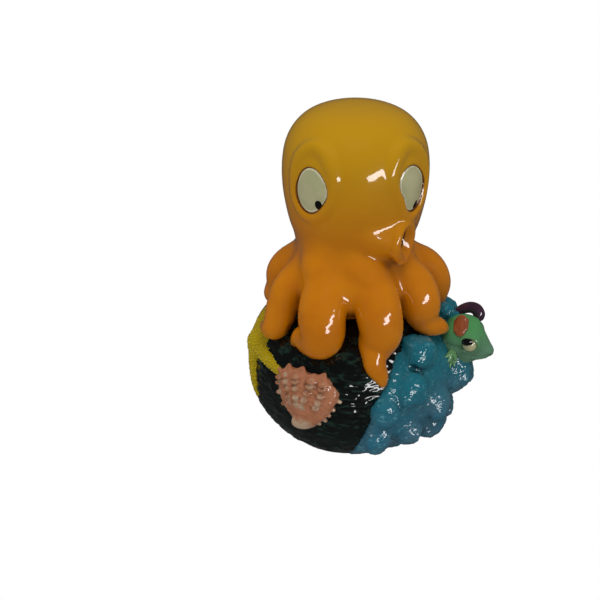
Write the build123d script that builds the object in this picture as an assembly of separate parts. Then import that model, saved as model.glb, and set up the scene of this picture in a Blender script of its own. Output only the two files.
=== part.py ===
"""Octopus figurine: a hand-painted cast resin ornament, in millimetres.

A cartoon octopus sits on a boulder. Its eight arms drape over the stone, and a
coral mound, a starfish, a scallop shell and a small fish are set round the side.
The origin is on the floor under the middle of the ornament, Z is up, and the
octopus faces -Y. Azimuths are degrees from the front (-Y) toward the right (+X).
"""
from build123d import *
import os
from math import cos, degrees, pi, radians, sin, tan

# Boulder
rock_radius = 36.0          # widest part of the boulder
rock_height = 45.5          # flat seat for the octopus
rock_wall = 6.0             # stone left round the hollow at the floor
cavity_height = 27.0        # hollow underside of the cast boulder
cavity_draft = 11.0         # degrees, so that the mould core pulls out
cavity_fillet = 5.0
rock_waist_share = 0.475    # height of the widest part
rock_crown_share = 0.90     # how far the dome runs before the flat seat
rock_dome_power = 2.4       # squareness of the dome
rock_undercut_share = 0.26  # how much narrower the floor is
rock_section_shares = (0.0, 0.12, 0.26, 0.42, 0.56, 0.68, 0.79, 0.88, 0.95, 1.0)
rock_lobe_shares = (        # waves, depth, start
    (2, 0.012, 40.0), (3, 0.016, 10.0), (5, 0.010, 70.0))
rock_outline_points = 14
rock_slope_step_share = 0.01    # of the rock height, for measuring the slope

# Octopus body, from the seat on the boulder up
head_radius = 24.2
body_height = 70.4
spigot_radius = 7.0         # locating spigot under the body
spigot_length = 7.0
seat_clearance = 0.25       # glue gap round the spigot
body_profile_shares = (     # radius of the head radius, height of the body height
    (0.77, 0.0), (0.95, 0.022), (1.015, 0.048), (1.02, 0.078), (0.985, 0.13), (0.905, 0.21),
    (0.852, 0.275), (0.84, 0.325), (0.868, 0.39), (0.915, 0.455), (0.958, 0.525), (0.988, 0.60),
    (1.0, 0.68), (0.988, 0.76), (0.945, 0.83), (0.862, 0.89), (0.73, 0.94), (0.55, 0.973),
    (0.31, 0.993), (0.0, 1.0))

# Eyes, inlaid in recessed sockets inside raised lids
eye_height = 15.4
eye_level_share = 0.699     # of the body height, to the middle of the eye
eye_depth = 2.4
eye_recess = 0.6
eye_azimuths = {"left": -38.8, "right": 47.8}
eye_reach_shares = {        # of half the eye's height, every 45 degrees from its right, anticlockwise
    "left": (0.80, 0.88, 1.01, 0.86, 0.80, 0.95, 0.98, 0.77),
    "right": (0.79, 0.82, 0.99, 1.00, 0.72, 0.69, 1.03, 0.87)}
pupil_radius = 1.25
pupil_proud = 0.15
pupil_depth = 0.8
pupil_across_shares = {"left": 0.21, "right": 0.14}   # of the eye's height
pupil_up_shares = {"left": -0.25, "right": -0.39}
lid_girth = 2.8
lid_gap = 2.5               # from the rim of the eye to the middle of the lid
lid_sink_share = 0.70
lid_brow_share = 0.35       # how much thicker the lid is above the eye
lid_points = 16
lid_sides = 10

# Siphon, the funnel below the eyes
siphon_radius = 6.8
siphon_blunt_share = 0.40   # how far its end rounds out, of a limb's tip
siphon_mouth_width = 3.4
siphon_mouth_height = 7.5
siphon_mouth_depth = 4.0
siphon_throat_share = 0.45
siphon_route_shares = (     # azimuth, reach of the head radius, height of the body height, girth
    (-3.8, 0.621, 0.490, 0.65), (11.0, 0.758, 0.480, 0.735), (25.4, 0.800, 0.470, 0.87),
    (35.0, 0.857, 0.462, 0.94), (39.8, 0.968, 0.453, 1.0))

# Arms: azimuth, reach of the rock radius, height of the rock height, girth of the arm
arm_girth = 7.4
arm_route_shares = {
    "arm_left_front": (
        (-61, 0.38, 1.385, 0.78), (-61, 0.53, 1.37, 0.76), (-61, 0.68, 1.25, 0.74),
        (-61, 0.765, 1.10, 0.72), (-60, 0.81, 1.00, 0.68), (-61, 0.85, 0.945, 0.58),
        (-67, 0.87, 0.91, 0.40), (-72, 0.875, 0.885, 0.24)),
    "arm_front_left": (
        (-25, 0.40, 1.35, 1.06), (-24, 0.59, 1.29, 1.09), (-22, 0.745, 1.165, 1.08),
        (-20, 0.84, 1.04, 0.98), (-26, 0.855, 0.965, 0.72), (-36, 0.83, 0.935, 0.51),
        (-45, 0.825, 0.905, 0.31)),
    "arm_front_right": (
        (14, 0.40, 1.35, 1.02), (15, 0.575, 1.29, 1.02), (17, 0.72, 1.19, 1.01),
        (18, 0.80, 1.07, 0.97), (15.5, 0.87, 0.975, 0.86), (12, 0.935, 0.885, 0.65),
        (12.2, 0.968, 0.815, 0.50), (16, 0.975, 0.735, 0.25)),
    "arm_right_front": (
        (52, 0.37, 1.39, 0.94), (54, 0.53, 1.37, 0.93), (55, 0.675, 1.24, 0.93),
        (56, 0.775, 1.115, 0.87), (57.5, 0.845, 1.01, 0.70), (63, 0.91, 0.95, 0.51),
        (68.5, 0.95, 0.92, 0.32)),
    "arm_right": (
        (97, 0.36, 1.395, 0.80), (97, 0.50, 1.375, 0.80), (97, 0.65, 1.30, 0.78),
        (97, 0.755, 1.22, 0.77), (97, 0.815, 1.11, 0.73), (97, 0.835, 1.02, 0.66),
        (97, 0.885, 0.96, 0.48), (96, 0.965, 0.92, 0.26)),
    "arm_back_right": (
        (152, 0.40, 1.35, 1.00), (152, 0.58, 1.29, 1.02), (151, 0.73, 1.175, 1.00),
        (150, 0.815, 1.05, 0.95), (148, 0.88, 0.95, 0.80), (143, 0.93, 0.87, 0.60),
        (136, 0.965, 0.81, 0.42), (129, 0.98, 0.77, 0.25)),
    "arm_back_left": (
        (205, 0.40, 1.35, 1.02), (205, 0.585, 1.29, 1.04), (207, 0.73, 1.175, 1.03),
        (208, 0.82, 1.045, 0.95), (204, 0.865, 0.95, 0.76), (197, 0.885, 0.88, 0.55),
        (189, 0.91, 0.83, 0.34)),
    "arm_left": (
        (-102, 0.36, 1.385, 0.76), (-102, 0.49, 1.36, 0.76), (-102, 0.61, 1.285, 0.74),
        (-102, 0.69, 1.185, 0.73), (-102, 0.70, 1.075, 0.70), (-104, 0.755, 0.98, 0.60),
        (-110, 0.81, 0.925, 0.42), (-117, 0.84, 0.89, 0.25)),
}

# Rounded end of every limb, in girths of its last ring
upright_share = 0.99        # how nearly upright a limb starts before its rings are turned another way
tip_reach_shares = (0.58, 0.86, 0.98)
tip_girth_shares = (0.83, 0.54, 0.24)

# Coral mound on the right flank: a crust over the stone, with rounded lumps
coral_crust = 2.8
coral_top_share = 0.88      # of the rock height
coral_crust_shares = (      # thinner at floor and top
    0.25, 0.62, 0.92, 1.0, 1.0, 0.95, 0.85, 0.65, 0.40, 0.16)
coral_edge_offset = -2.5    # where its front edge meets the floor, along X
coral_edge_lean = 21.0      # degrees that the edge leans to the right
lump_radius = 6.5
lump_rise_share = 0.60      # of its own radius, above the crust
lump_root_share = 0.50      # of its own radius, into the stone
coral_lump_shares = (       # azimuth, height of the rock height, radius of the lump radius
    (43, 0.83, 0.92), (31, 0.63, 1.00), (16, 0.50, 0.86), (50, 0.40, 1.00), (12, 0.25, 0.72),
    (30, 0.27, 0.86), (52, 0.20, 0.92), (74, 0.42, 1.80), (95, 0.36, 1.25), (76, 0.16, 1.00),
    (106, 0.75, 1.00), (117, 0.40, 1.20), (126, 0.66, 0.95), (104, 0.15, 0.85), (138, 0.36, 1.10),
    (150, 0.55, 0.85), (160, 0.24, 0.85))
knob_radius = 3.6
knob_lobe_shares = (        # azimuth, reach of the rock radius, height of the rock height, radius
    (84.0, 0.906, 0.936, 1.0), (83.0, 0.983, 0.879, 0.8))

# Starfish wrapped over the left flank
star_arm_length = 20.5
star_girth = 3.4
star_arms = 5
star_azimuth = -77.0
star_level_share = 0.72
star_climb_share = 0.55     # how far the upper arms climb the dome
star_turn = -4.0            # degrees, direction of the arm that points to the front
star_girth_shares = (1.0, 0.88, 0.70, 0.42)
star_hub_girth_share = 1.5
star_hub_rise_share = 0.1
star_run_shares = (0.0, 0.32, 0.66, 0.95)
star_sink_share = 0.35      # of the girth, so that it lies on the stone
star_sides = 10

# Scallop shell on the front left
shell_length = 21.5
shell_fan = 38.0            # degrees to each side of the middle rib
shell_ribs = 7
shell_dome = 3.4
shell_rib_girth = 2.3
shell_azimuth = -25.0
shell_level_share = 0.60    # of the rock height, to the middle of the shell
shell_hinge_width = 7.0
shell_hinge_height = 3.4
shell_run_shares = (0.02, 0.30, 0.62, 0.93)
shell_rise_shares = (0.10, 0.80, 1.0, 0.40)
shell_girth_shares = (0.50, 0.78, 1.0, 0.85)
shell_edge_share = 0.30     # how much lower the outer ribs are
shell_short_share = 0.10    # how much shorter the outer ribs are
shell_sides = 8

# Small fish set in the coral on the right
fish_length = 22.0
fish_height = 18.4
fish_thickness = 12.5
fish_azimuth = 76.4
fish_reach = 40.4           # from the axis of the body to the middle of the fish
fish_level = 33.6           # height of the middle of the fish
fish_heading = 75.0         # azimuth that the snout points to
fish_dip = 14.0             # degrees that the snout points down
fish_section_shares = (     # run along the length, height and thickness of the widest
    (-0.50, 0.30, 0.34), (-0.42, 0.62, 0.68), (-0.28, 0.90, 0.92), (-0.10, 1.0, 1.0),
    (0.06, 0.97, 0.96), (0.20, 0.80, 0.80), (0.32, 0.55, 0.58), (0.42, 0.30, 0.36), (0.47, 0.14, 0.18))
fish_eye_radius = 2.4
fish_eye_run_share = 0.05
fish_eye_up_share = 0.18
fish_eye_sink_share = 0.35
fish_pupil_radius = 1.35
fish_pupil_run_share = -0.05
fish_pupil_up_share = 0.07
fish_pupil_proud = 0.3
fish_fin_girth = 2.5
fish_fin_route_shares = (   # run, up and near-side place of the dorsal fin
    (-0.24, 0.36, 0.20), (-0.16, 0.39, 0.19), (-0.08, 0.39, 0.18))
fish_tail_girth = 1.8
fish_tail_route_shares = (  # run, up and far-side place, girth
    (-0.44, 0.06, 0.10, 0.85), (-0.36, 0.18, 0.36, 0.85), (-0.26, 0.31, 0.56, 0.85),
    (-0.13, 0.43, 0.72, 0.95), (0.01, 0.47, 0.75, 1.05), (0.07, 0.40, 0.70, 1.0))
paddle_fingers = 4
paddle_sides = 8
paddle_girth = 0.85
paddle_length = 5.4
paddle_flare = 4.0          # how far the tips stand off the flank
paddle_run_share = -0.17
paddle_up_share = -0.14
paddle_spread = 17.0        # degrees between fingers
paddle_start = -118.0       # degrees, direction of the first finger in the side view
paddle_taper_shares = (1.3, 0.6)

# Reach of cutting blocks past what they cut
overrun = 60.0


def around(azimuth, reach, height):
    """A place by its direction round the ornament, its reach from the axis and its height."""
    turn = radians(azimuth)
    return Vector(reach * sin(turn), -reach * cos(turn), height)


def limb(centres, girths, sides=0, blunt_share=1):
    """A tapering limb through the centres, with a rounded tip; sides of 0 give it a round section."""
    centres = list(centres)
    girths = list(girths)
    ahead = (centres[-1] - centres[-2]).normalized()
    end = centres[-1]
    end_girth = girths[-1]
    for reach_share, girth_share in zip(tip_reach_shares, tip_girth_shares):
        centres.append(end + ahead * end_girth * reach_share * blunt_share)
        girths.append(end_girth * girth_share)
    start = (centres[1] - centres[0]).normalized()
    side = Vector(1, 0, 0) if abs(start.Z) > upright_share else Vector(0, 0, 1).cross(start)
    sections = []
    for index, (centre, girth) in enumerate(zip(centres, girths)):
        before = centres[max(index - 1, 0)]
        after = centres[min(index + 1, len(centres) - 1)]
        along = (after - before).normalized()
        side = (side - along * side.dot(along)).normalized()
        ring = Plane(origin=centre, x_dir=side, z_dir=along)
        outline = RegularPolygon(girth, sides) if sides else Circle(girth)
        sections.append(ring * outline)
    return loft(sections, ruled=True)


def dome(base, top, girth):
    """A round post from the base to the top, with the rounded end of a limb."""
    length = (top - base).length
    points = [Vector(0, 0, 0), Vector(girth, 0, 0), Vector(girth, 0, length)]
    for reach_share, girth_share in zip(tip_reach_shares, tip_girth_shares):
        points.append(Vector(girth * girth_share, 0, length + girth * reach_share))
    points.append(Vector(0, 0, length + girth * tip_reach_shares[-1]))
    post = revolve(make_face(Polyline(*points, close=True)), Axis.Z)
    return Plane(origin=base, z_dir=top - base) * post


def largest(shape):
    """The main body of a cut piece, without thin flakes beside it."""
    return max(shape.solids(), key=lambda solid: solid.volume)


def cut_by(shape, others):
    """What is left of a piece outside the larger pieces that it is seated on."""
    return largest(shape.cut(*others))


def fused(pieces):
    """Several overlapping pieces as one."""
    return pieces[0].fuse(*pieces[1:])


def rock_reach(height):
    """Radius of the boulder, without its lobes, at a height."""
    share = min(max(height / rock_height, 0), 1)
    if share > rock_waist_share:
        rise = (share - rock_waist_share) / (1 - rock_waist_share) * rock_crown_share
        return rock_radius * (1 - rise ** rock_dome_power) ** (1 / rock_dome_power)
    drop = (rock_waist_share - share) / rock_waist_share
    return rock_radius * (1 - rock_undercut_share * drop ** 2)


def lobed(radius, azimuth):
    """The radius with the boulder's gentle lobes."""
    swell = 0
    for waves, depth, start in rock_lobe_shares:
        swell = swell + depth * cos(radians(waves * azimuth + start))
    return radius * (1 + swell)


def rock_place(azimuth, height, lift=0):
    """A place on the boulder's surface, or lifted off it, and the outward direction there."""
    step = rock_height * rock_slope_step_share
    slope = (rock_reach(height + step) - rock_reach(height - step)) / (2 * step)
    outward = (around(azimuth, 1, 0) - Vector(0, 0, slope)).normalized()
    return around(azimuth, lobed(rock_reach(height), azimuth), height) + outward * lift, outward


def boulder(crust, top_share):
    """The boulder's outer form, grown by a crust that thins out toward its floor and top."""
    sections = []
    for section_share, crust_share in zip(rock_section_shares, coral_crust_shares):
        height = section_share * top_share * rock_height
        grown = rock_reach(height) + crust * crust_share
        points = []
        for index in range(rock_outline_points):
            azimuth = index * 360 / rock_outline_points
            points.append(around(azimuth, lobed(grown, azimuth), height))
        sections.append(make_face(Spline(*points, periodic=True)))
    return loft(sections, ruled=True)


def make_rock():
    """Cast boulder with a hollow underside and a socket for the body's spigot."""
    mouth = rock_reach(0) - rock_wall
    throat = mouth - cavity_height * tan(radians(cavity_draft))
    core = Pos(0, 0, cavity_height / 2) * Cone(mouth, throat, cavity_height)
    core = fillet(core.edges().sort_by(Axis.Z)[-1], cavity_fillet)
    socket_depth = spigot_length + seat_clearance
    socket = Cylinder(spigot_radius + seat_clearance, socket_depth)
    return largest(boulder(0, 1) - core - Pos(0, 0, rock_height - socket_depth / 2) * socket)


def body_form(inset=0):
    """Head, neck and web of the octopus, turned about its axis, or a smaller copy inside it."""
    points = []
    for radius_share, height_share in body_profile_shares[:-1]:
        level = rock_height + body_height * height_share
        points.append(Vector(head_radius * radius_share - inset, 0, level))
    points.append(Vector(0, 0, rock_height + body_height - inset))
    points.append(Vector(0, 0, rock_height))
    return revolve(make_face(Polyline(*points, close=True)), Axis.Z)


def head_reach(height):
    """Radius of the octopus body at a height."""
    share = (height - rock_height) / body_height
    for (low_radius, low), (high_radius, high) in zip(body_profile_shares, body_profile_shares[1:]):
        if share <= high:
            part = (share - low) / (high - low)
            return head_radius * (low_radius + (high_radius - low_radius) * part)
    return 0


def eye_outline(side, border=0):
    """An eye's outline about its middle, across and up, or the same line outside it by a border."""
    points = []
    reach_shares = eye_reach_shares[side]
    for index, reach_share in enumerate(reach_shares):
        turn = 2 * pi * index / len(reach_shares)
        reach = eye_height / 2 * reach_share + border
        points.append(Vector(reach * cos(turn), reach * sin(turn), 0))
    return Spline(*points, periodic=True)


def eye_plane(side):
    """The upright plane inside the head that an eye's outline is drawn on."""
    azimuth = eye_azimuths[side]
    level = rock_height + body_height * eye_level_share
    origin = around(azimuth, head_radius / 2, level)
    return Plane(origin=origin, x_dir=around(azimuth + 90, 1, 0), z_dir=around(azimuth, 1, 0))


def make_lid(side):
    """A raised lid round an eye, thicker above it as a brow."""
    azimuth = eye_azimuths[side]
    level = rock_height + body_height * eye_level_share
    outline = eye_outline(side, lid_gap)
    centres = []
    girths = []
    for index in range(lid_points):
        spot = outline @ (index / lid_points)
        brow = max(spot.Y / (eye_height / 2 + lid_gap), 0)
        girth = lid_girth * (1 + lid_brow_share * brow)
        reach = head_reach(level + spot.Y) - girth * lid_sink_share
        centres.append(around(azimuth + degrees(spot.X / reach), reach, level + spot.Y))
        girths.append(girth)
    half = lid_points // 2
    near = limb(centres[:half + 1], girths[:half + 1], lid_sides)
    far = limb(centres[half:] + centres[:1], girths[half:] + girths[:1], lid_sides)
    return near + far


def make_head(plain):
    """The body with its eye sockets, lids and locating spigot, and the inlaid eyes."""
    socket_floor = body_form(eye_depth)
    eye_face = body_form(eye_recess)
    pupil_face = body_form(eye_recess - pupil_proud)
    pupil_floor = body_form(eye_recess + pupil_depth)
    head = plain
    inlays = {}
    for side in eye_azimuths:
        plane = eye_plane(side)
        prism = extrude(make_face(plane * eye_outline(side)), amount=head_radius)
        place = Pos(eye_height * pupil_across_shares[side], eye_height * pupil_up_shares[side])
        pupil_bar = extrude(plane * place * Circle(pupil_radius), amount=head_radius)
        head = head + make_lid(side) - (prism - socket_floor)
        pupil = (pupil_bar & prism & pupil_face) - pupil_floor
        eye = (prism & eye_face) - socket_floor - pupil
        inlays["eye_" + side] = largest(eye)
        inlays["pupil_" + side] = largest(pupil)
    spigot = Pos(0, 0, rock_height - spigot_length / 2) * Cylinder(spigot_radius, spigot_length)
    return largest(head + spigot), inlays


def make_siphon(head):
    """The funnel below the eyes, with its pursed upright opening, seated on the head and its lids."""
    centres = []
    girths = []
    for azimuth, reach_share, height_share, girth_share in siphon_route_shares:
        level = rock_height + body_height * height_share
        centres.append(around(azimuth, head_radius * reach_share, level))
        girths.append(siphon_radius * girth_share)
    funnel = limb(centres, girths, blunt_share=siphon_blunt_share)
    ahead = (centres[-1] - centres[-2]).normalized()
    lip = centres[-1] + ahead * siphon_radius * siphon_blunt_share
    mouth = Plane(origin=lip, x_dir=Vector(0, 0, 1).cross(ahead), z_dir=ahead)
    rim = mouth * Ellipse(siphon_mouth_width / 2, siphon_mouth_height / 2)
    throat_width = siphon_mouth_width * siphon_throat_share
    throat_height = siphon_mouth_height * siphon_throat_share
    throat = mouth.offset(-siphon_mouth_depth) * Ellipse(throat_width / 2, throat_height / 2)
    return cut_by(funnel - loft([throat, rim], ruled=True), [head])


def make_arm(name):
    """One arm, from inside the web over the shoulder of the boulder to its curled foot."""
    centres = []
    girths = []
    for azimuth, reach_share, height_share, girth_share in arm_route_shares[name]:
        centres.append(around(azimuth, rock_radius * reach_share, rock_height * height_share))
        girths.append(arm_girth * girth_share)
    return limb(centres, girths)


def make_lump(azimuth, height_share, radius_share):
    """A rounded coral lump that stands out of the crust."""
    radius = lump_radius * radius_share
    surface, outward = rock_place(azimuth, rock_height * height_share)
    root = surface - outward * radius * lump_root_share
    rise = coral_crust + radius * (lump_rise_share - tip_reach_shares[-1])
    return dome(root, surface + outward * rise, radius)


def make_coral(seats):
    """The coral mound, seated on the boulder and round the feet and the fish."""
    crust = boulder(coral_crust, coral_top_share)
    keep = Pos(coral_edge_offset, 0, 0) * Rot(0, coral_edge_lean, 0) * Pos(overrun, 0, 0)
    keep = keep * Box(2 * overrun, 4 * overrun, 4 * overrun)
    mound = fused([crust & keep] + [make_lump(*row) for row in coral_lump_shares])
    floor = Pos(0, 0, overrun) * Box(4 * overrun, 4 * overrun, 2 * overrun)
    return cut_by(mound & floor, seats)


def make_knob(seats):
    """A small two-lobed knob of coral beside the right arm."""
    lobes = []
    for azimuth, reach_share, height_share, radius_share in knob_lobe_shares:
        centre = around(azimuth, rock_radius * reach_share, rock_height * height_share)
        lobes.append(Pos(centre) * Sphere(knob_radius * radius_share))
    return cut_by(fused(lobes), seats)


def make_starfish(seats):
    """Five tapering arms that follow the boulder."""
    level = rock_height * star_level_share
    arms = []
    for index in range(star_arms):
        turn = radians(star_turn + index * 360 / star_arms)
        centres = []
        girths = []
        for run_share, girth_share in zip(star_run_shares, star_girth_shares):
            run = star_arm_length * run_share
            climb_share = 1 if sin(turn) < 0 else star_climb_share
            height = level + run * sin(turn) * climb_share
            azimuth = star_azimuth + degrees(run * cos(turn) / rock_reach(level))
            girth = star_girth * girth_share
            place, outward = rock_place(azimuth, height, -girth * star_sink_share)
            centres.append(place)
            girths.append(girth)
        arms.append(limb(centres, girths, star_sides))
    middle, outward = rock_place(star_azimuth, level, -star_girth * star_sink_share)
    hub_top = middle + outward * star_girth * star_hub_rise_share
    hub = dome(middle - outward * star_girth, hub_top, star_girth * star_hub_girth_share)
    return cut_by(fused([hub] + arms), seats)


def make_shell(seats):
    """A ribbed scallop that leans on the boulder, hinge down."""
    level = rock_height * shell_level_share
    surface, outward = rock_place(shell_azimuth, level)
    across = around(shell_azimuth + 90, 1, 0)
    up = outward.cross(across)
    if up.Z < 0:
        up = up * -1
    hinge = surface - up * shell_length / 2
    ribs = []
    for index in range(shell_ribs):
        spread = 2 * index / (shell_ribs - 1) - 1
        turn = radians(shell_fan * spread)
        droop = 1 - shell_edge_share * spread ** 2
        centres = []
        girths = []
        rows = zip(shell_run_shares, shell_rise_shares, shell_girth_shares)
        for run_share, rise_share, girth_share in rows:
            run = shell_length * run_share * (1 - shell_short_share * spread ** 2)
            place = hinge + across * run * sin(turn) + up * run * cos(turn)
            centres.append(place + outward * shell_dome * rise_share * droop)
            girths.append(shell_rib_girth * girth_share)
        ribs.append(limb(centres, girths, shell_sides))
    ears = Box(shell_hinge_width, shell_hinge_height, shell_dome)
    ears = Plane(origin=hinge, x_dir=across, z_dir=outward) * ears
    return cut_by(fused(ribs + [ears]), seats)


def fish_frame():
    """The plane across the fish's middle: X to its far side, Y up, Z toward the snout."""
    flat = around(fish_heading, 1, 0)
    ahead = flat * cos(radians(fish_dip)) - Vector(0, 0, sin(radians(fish_dip)))
    middle = around(fish_azimuth, fish_reach, fish_level)
    return Plane(origin=middle, x_dir=Vector(0, 0, 1).cross(ahead), z_dir=ahead)


def fish_flank(run_share, up_share):
    """Half thickness of the fish at a place on its side."""
    pairs = zip(fish_section_shares, fish_section_shares[1:])
    for (low, low_high, low_wide), (high, high_high, high_wide) in pairs:
        if run_share <= high:
            part = (run_share - low) / (high - low)
            tall = low_high + (high_high - low_high) * part
            wide = low_wide + (high_wide - low_wide) * part
            return fish_thickness / 2 * wide * (1 - min(2 * up_share / tall, 1) ** 2) ** 0.5
    return 0


def fish_place(frame, run, up, out):
    """A place in the fish's frame, with out toward the far side."""
    return frame.origin + frame.z_dir * run + frame.y_dir * up + frame.x_dir * out


def make_fish(seats):
    """The small fish: body, eyes, pupils and fins."""
    frame = fish_frame()
    sections = []
    for run_share, height_share, thickness_share in fish_section_shares:
        section = Ellipse(fish_thickness / 2 * thickness_share, fish_height / 2 * height_share)
        sections.append(frame.offset(fish_length * run_share) * section)
    body = cut_by(loft(sections, ruled=True), seats)

    eyes = []
    pupils = []
    run = fish_length * fish_eye_run_share
    up = fish_height * fish_eye_up_share
    eye_out = fish_flank(fish_eye_run_share, fish_eye_up_share) - fish_eye_radius * fish_eye_sink_share
    pupil_run = run + fish_length * fish_pupil_run_share
    pupil_up = up + fish_height * fish_pupil_up_share
    pupil_out = eye_out + fish_eye_radius - fish_pupil_radius + fish_pupil_proud
    for near in (-1, 1):
        centre = fish_place(frame, run, up, near * eye_out)
        eye = cut_by(Pos(centre) * Sphere(fish_eye_radius), [body])
        gaze = fish_place(frame, pupil_run, pupil_up, near * pupil_out)
        pupils.append(cut_by(Pos(gaze) * Sphere(fish_pupil_radius), [eye, body]))
        eyes.append(eye)

    fin_centres = []
    for run, up, near in fish_fin_route_shares:
        place = fish_place(frame, fish_length * run, fish_height * up, -fish_thickness * near)
        fin_centres.append(place)
    fin = cut_by(limb(fin_centres, [fish_fin_girth] * len(fin_centres)), [body])

    tail_centres = []
    tail_girths = []
    for run, up, far, girth_share in fish_tail_route_shares:
        place = fish_place(frame, fish_length * run, fish_height * up, fish_thickness * far)
        tail_centres.append(place)
        tail_girths.append(fish_tail_girth * girth_share)
    tail = cut_by(limb(tail_centres, tail_girths), [body] + seats)

    fingers = []
    root_run = fish_length * paddle_run_share
    root_up = fish_height * paddle_up_share
    root_out = -fish_flank(paddle_run_share, paddle_up_share)
    root = fish_place(frame, root_run, root_up, root_out)
    girths = [paddle_girth * share for share in paddle_taper_shares]
    for index in range(paddle_fingers):
        turn = radians(paddle_start + index * paddle_spread)
        tip_run = root_run + paddle_length * cos(turn)
        tip_up = root_up + paddle_length * sin(turn)
        tip = fish_place(frame, tip_run, tip_up, root_out - paddle_flare)
        fingers.append(limb([root, tip], girths, paddle_sides))
    paddle = cut_by(fused(fingers), [body] + seats)
    return {"fish_body": body, "fish_eyes": Compound(eyes), "fish_pupils": Compound(pupils),
            "fish_dorsal_fin": fin, "fish_tail": tail, "fish_pectoral_fin": paddle}


def make_all():
    """Every sub-part, the large ones first, so that the small ones are seated on them."""
    rock = make_rock()
    stone = boulder(0, 1)
    plain = body_form()
    head, inlays = make_head(plain)
    parts = {"rock_base": rock, "mantle": head, "siphon": make_siphon(head)}
    parts.update(inlays)
    arms = []
    for name in arm_route_shares:
        arm = cut_by(make_arm(name), [plain, stone] + arms[-1:])
        arms.append(arm)
        parts[name] = arm
    fish = make_fish([stone, arms[3], arms[4]])
    parts.update(fish)
    knob = make_knob([stone, fish["fish_body"], fish["fish_tail"], arms[3], arms[4]])
    parts["coral_knob"] = knob
    coral_seats = [stone, fish["fish_body"], fish["fish_tail"], fish["fish_pectoral_fin"], knob]
    parts["coral_mound"] = make_coral(coral_seats + arms[2:6])
    parts["starfish"] = make_starfish([stone, plain, arms[0], arms[7]])
    parts["scallop_shell"] = make_shell([stone, arms[1], parts["starfish"]])
    return parts


def save_all(parts):
    """Moves the ornament's middle over the origin and writes one file for each sub-part."""
    box = Compound(list(parts.values())).bounding_box()
    centring = Pos(-box.center().X, -box.center().Y, 0)
    print("moved by", round(-box.center().X, 3), round(-box.center().Y, 3), "size", box.size)
    for name, shape in parts.items():
        moved = centring * shape
        moved.label = name
        export_step(moved, "parts/" + name + ".step")


os.makedirs("parts", exist_ok=True)
save_all(make_all())
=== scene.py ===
# %% [markdown]
# # An octopus ornament in painted casting resin
# The real object is one heavy casting of stone-filled polyester resin. A sculptor made the master in clay,
# a silicone mould copied it, and each copy was painted by hand and dipped in a glossy varnish. This lesson
# rebuilds it the same way: soft clay forms that melt into each other, fine relief pressed into them, and
# paint with a clear coat on top. All sizes are in millimetres until a piece is made, then in metres.

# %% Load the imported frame
import math

import bpy
import numpy as np
import openvdb
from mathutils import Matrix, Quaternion, Vector


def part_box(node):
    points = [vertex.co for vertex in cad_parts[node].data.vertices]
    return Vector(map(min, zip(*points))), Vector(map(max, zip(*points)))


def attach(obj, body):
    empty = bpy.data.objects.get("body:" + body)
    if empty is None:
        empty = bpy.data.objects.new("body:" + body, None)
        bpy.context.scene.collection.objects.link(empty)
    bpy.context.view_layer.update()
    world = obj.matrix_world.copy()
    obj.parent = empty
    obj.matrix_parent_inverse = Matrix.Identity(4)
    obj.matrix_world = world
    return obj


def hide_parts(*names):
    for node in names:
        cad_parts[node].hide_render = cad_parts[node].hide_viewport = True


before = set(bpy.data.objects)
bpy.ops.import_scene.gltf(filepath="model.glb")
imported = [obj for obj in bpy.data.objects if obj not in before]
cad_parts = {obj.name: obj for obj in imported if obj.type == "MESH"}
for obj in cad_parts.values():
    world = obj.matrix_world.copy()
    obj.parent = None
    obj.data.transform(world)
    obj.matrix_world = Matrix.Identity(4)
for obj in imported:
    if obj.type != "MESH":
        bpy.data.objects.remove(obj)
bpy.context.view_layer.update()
mm = 0.001
print("frame holds", len(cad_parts), "nodes")

# %% [markdown]
# ## Where things are
# The octopus is turned about an upright axis, so the middle of its solid in the frame gives that axis. The
# seat on top of the boulder and the crown of the head give the two heights that everything else follows.

# %% Driving sizes from the frame
body_low, body_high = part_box("mantle")
rock_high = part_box("rock_base")[1]
web_share = 1.02         # the solid's widest radius over the head's
axis_place = np.array([(body_low.x + body_high.x) / 2, (body_low.y + body_high.y) / 2, 0.0]) / mm
seat_height = rock_high.z / mm
crown_height = body_high.z / mm
body_height = crown_height - seat_height
head_radius = (body_high.x - body_low.x) / 2 / mm / web_share
rock_radius = 36.0
print("axis", axis_place.round(2), "seat", round(seat_height, 2), "head radius", round(head_radius, 2))


# %% Places round the axis
def around(azimuth, reach, height):
    """A place by its direction from the front, its reach from the axis and its height."""
    turn = math.radians(azimuth)
    return np.array([reach * math.sin(turn), -reach * math.cos(turn), height])


def smooth_route(places, steps=4):
    """Places along a smooth curve through the given ones, with anything else they carry, such as a girth."""
    rows = np.array(places, float)
    rows = np.vstack([2 * rows[0] - rows[1], rows, 2 * rows[-1] - rows[-2]])
    made = []
    for index in range(1, len(rows) - 2):
        before, here, after, beyond = rows[index - 1:index + 3]
        for part in np.arange(steps) / steps:
            made.append(0.5 * (2 * here + (after - before) * part
                               + (2 * before - 5 * here + 4 * after - beyond) * part ** 2
                               + (3 * here - before - 3 * after + beyond) * part ** 3))
    made.append(rows[-2])
    return np.array(made)


# %% [markdown]
# ## Clay
# A sculptor pushes soft clay together, and the joints melt. Metaballs do that in Blender, but their reach
# is hard to set in millimetres. A signed distance field does it exactly: every grain of a block holds its
# distance to the surface, two forms are joined by a minimum that is rounded over a chosen reach, and the
# surface is read off where the distance is zero. OpenVDB, which Blender carries, turns the block into quads.

# %% A block of clay
far_away = 1000.0
clay_margin = 6.0        # how far round a form its distances are worked out
last_cell = 1.001        # reading between grains stops this many grains short of a block's end
least = 1e-9             # keeps a length from being divided by zero
surface_passes = 3       # how often the points are moved onto the zero of the distances
hollow_reaches = (1.0, 2.5, 5.0)     # how far out a crease is felt for


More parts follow.
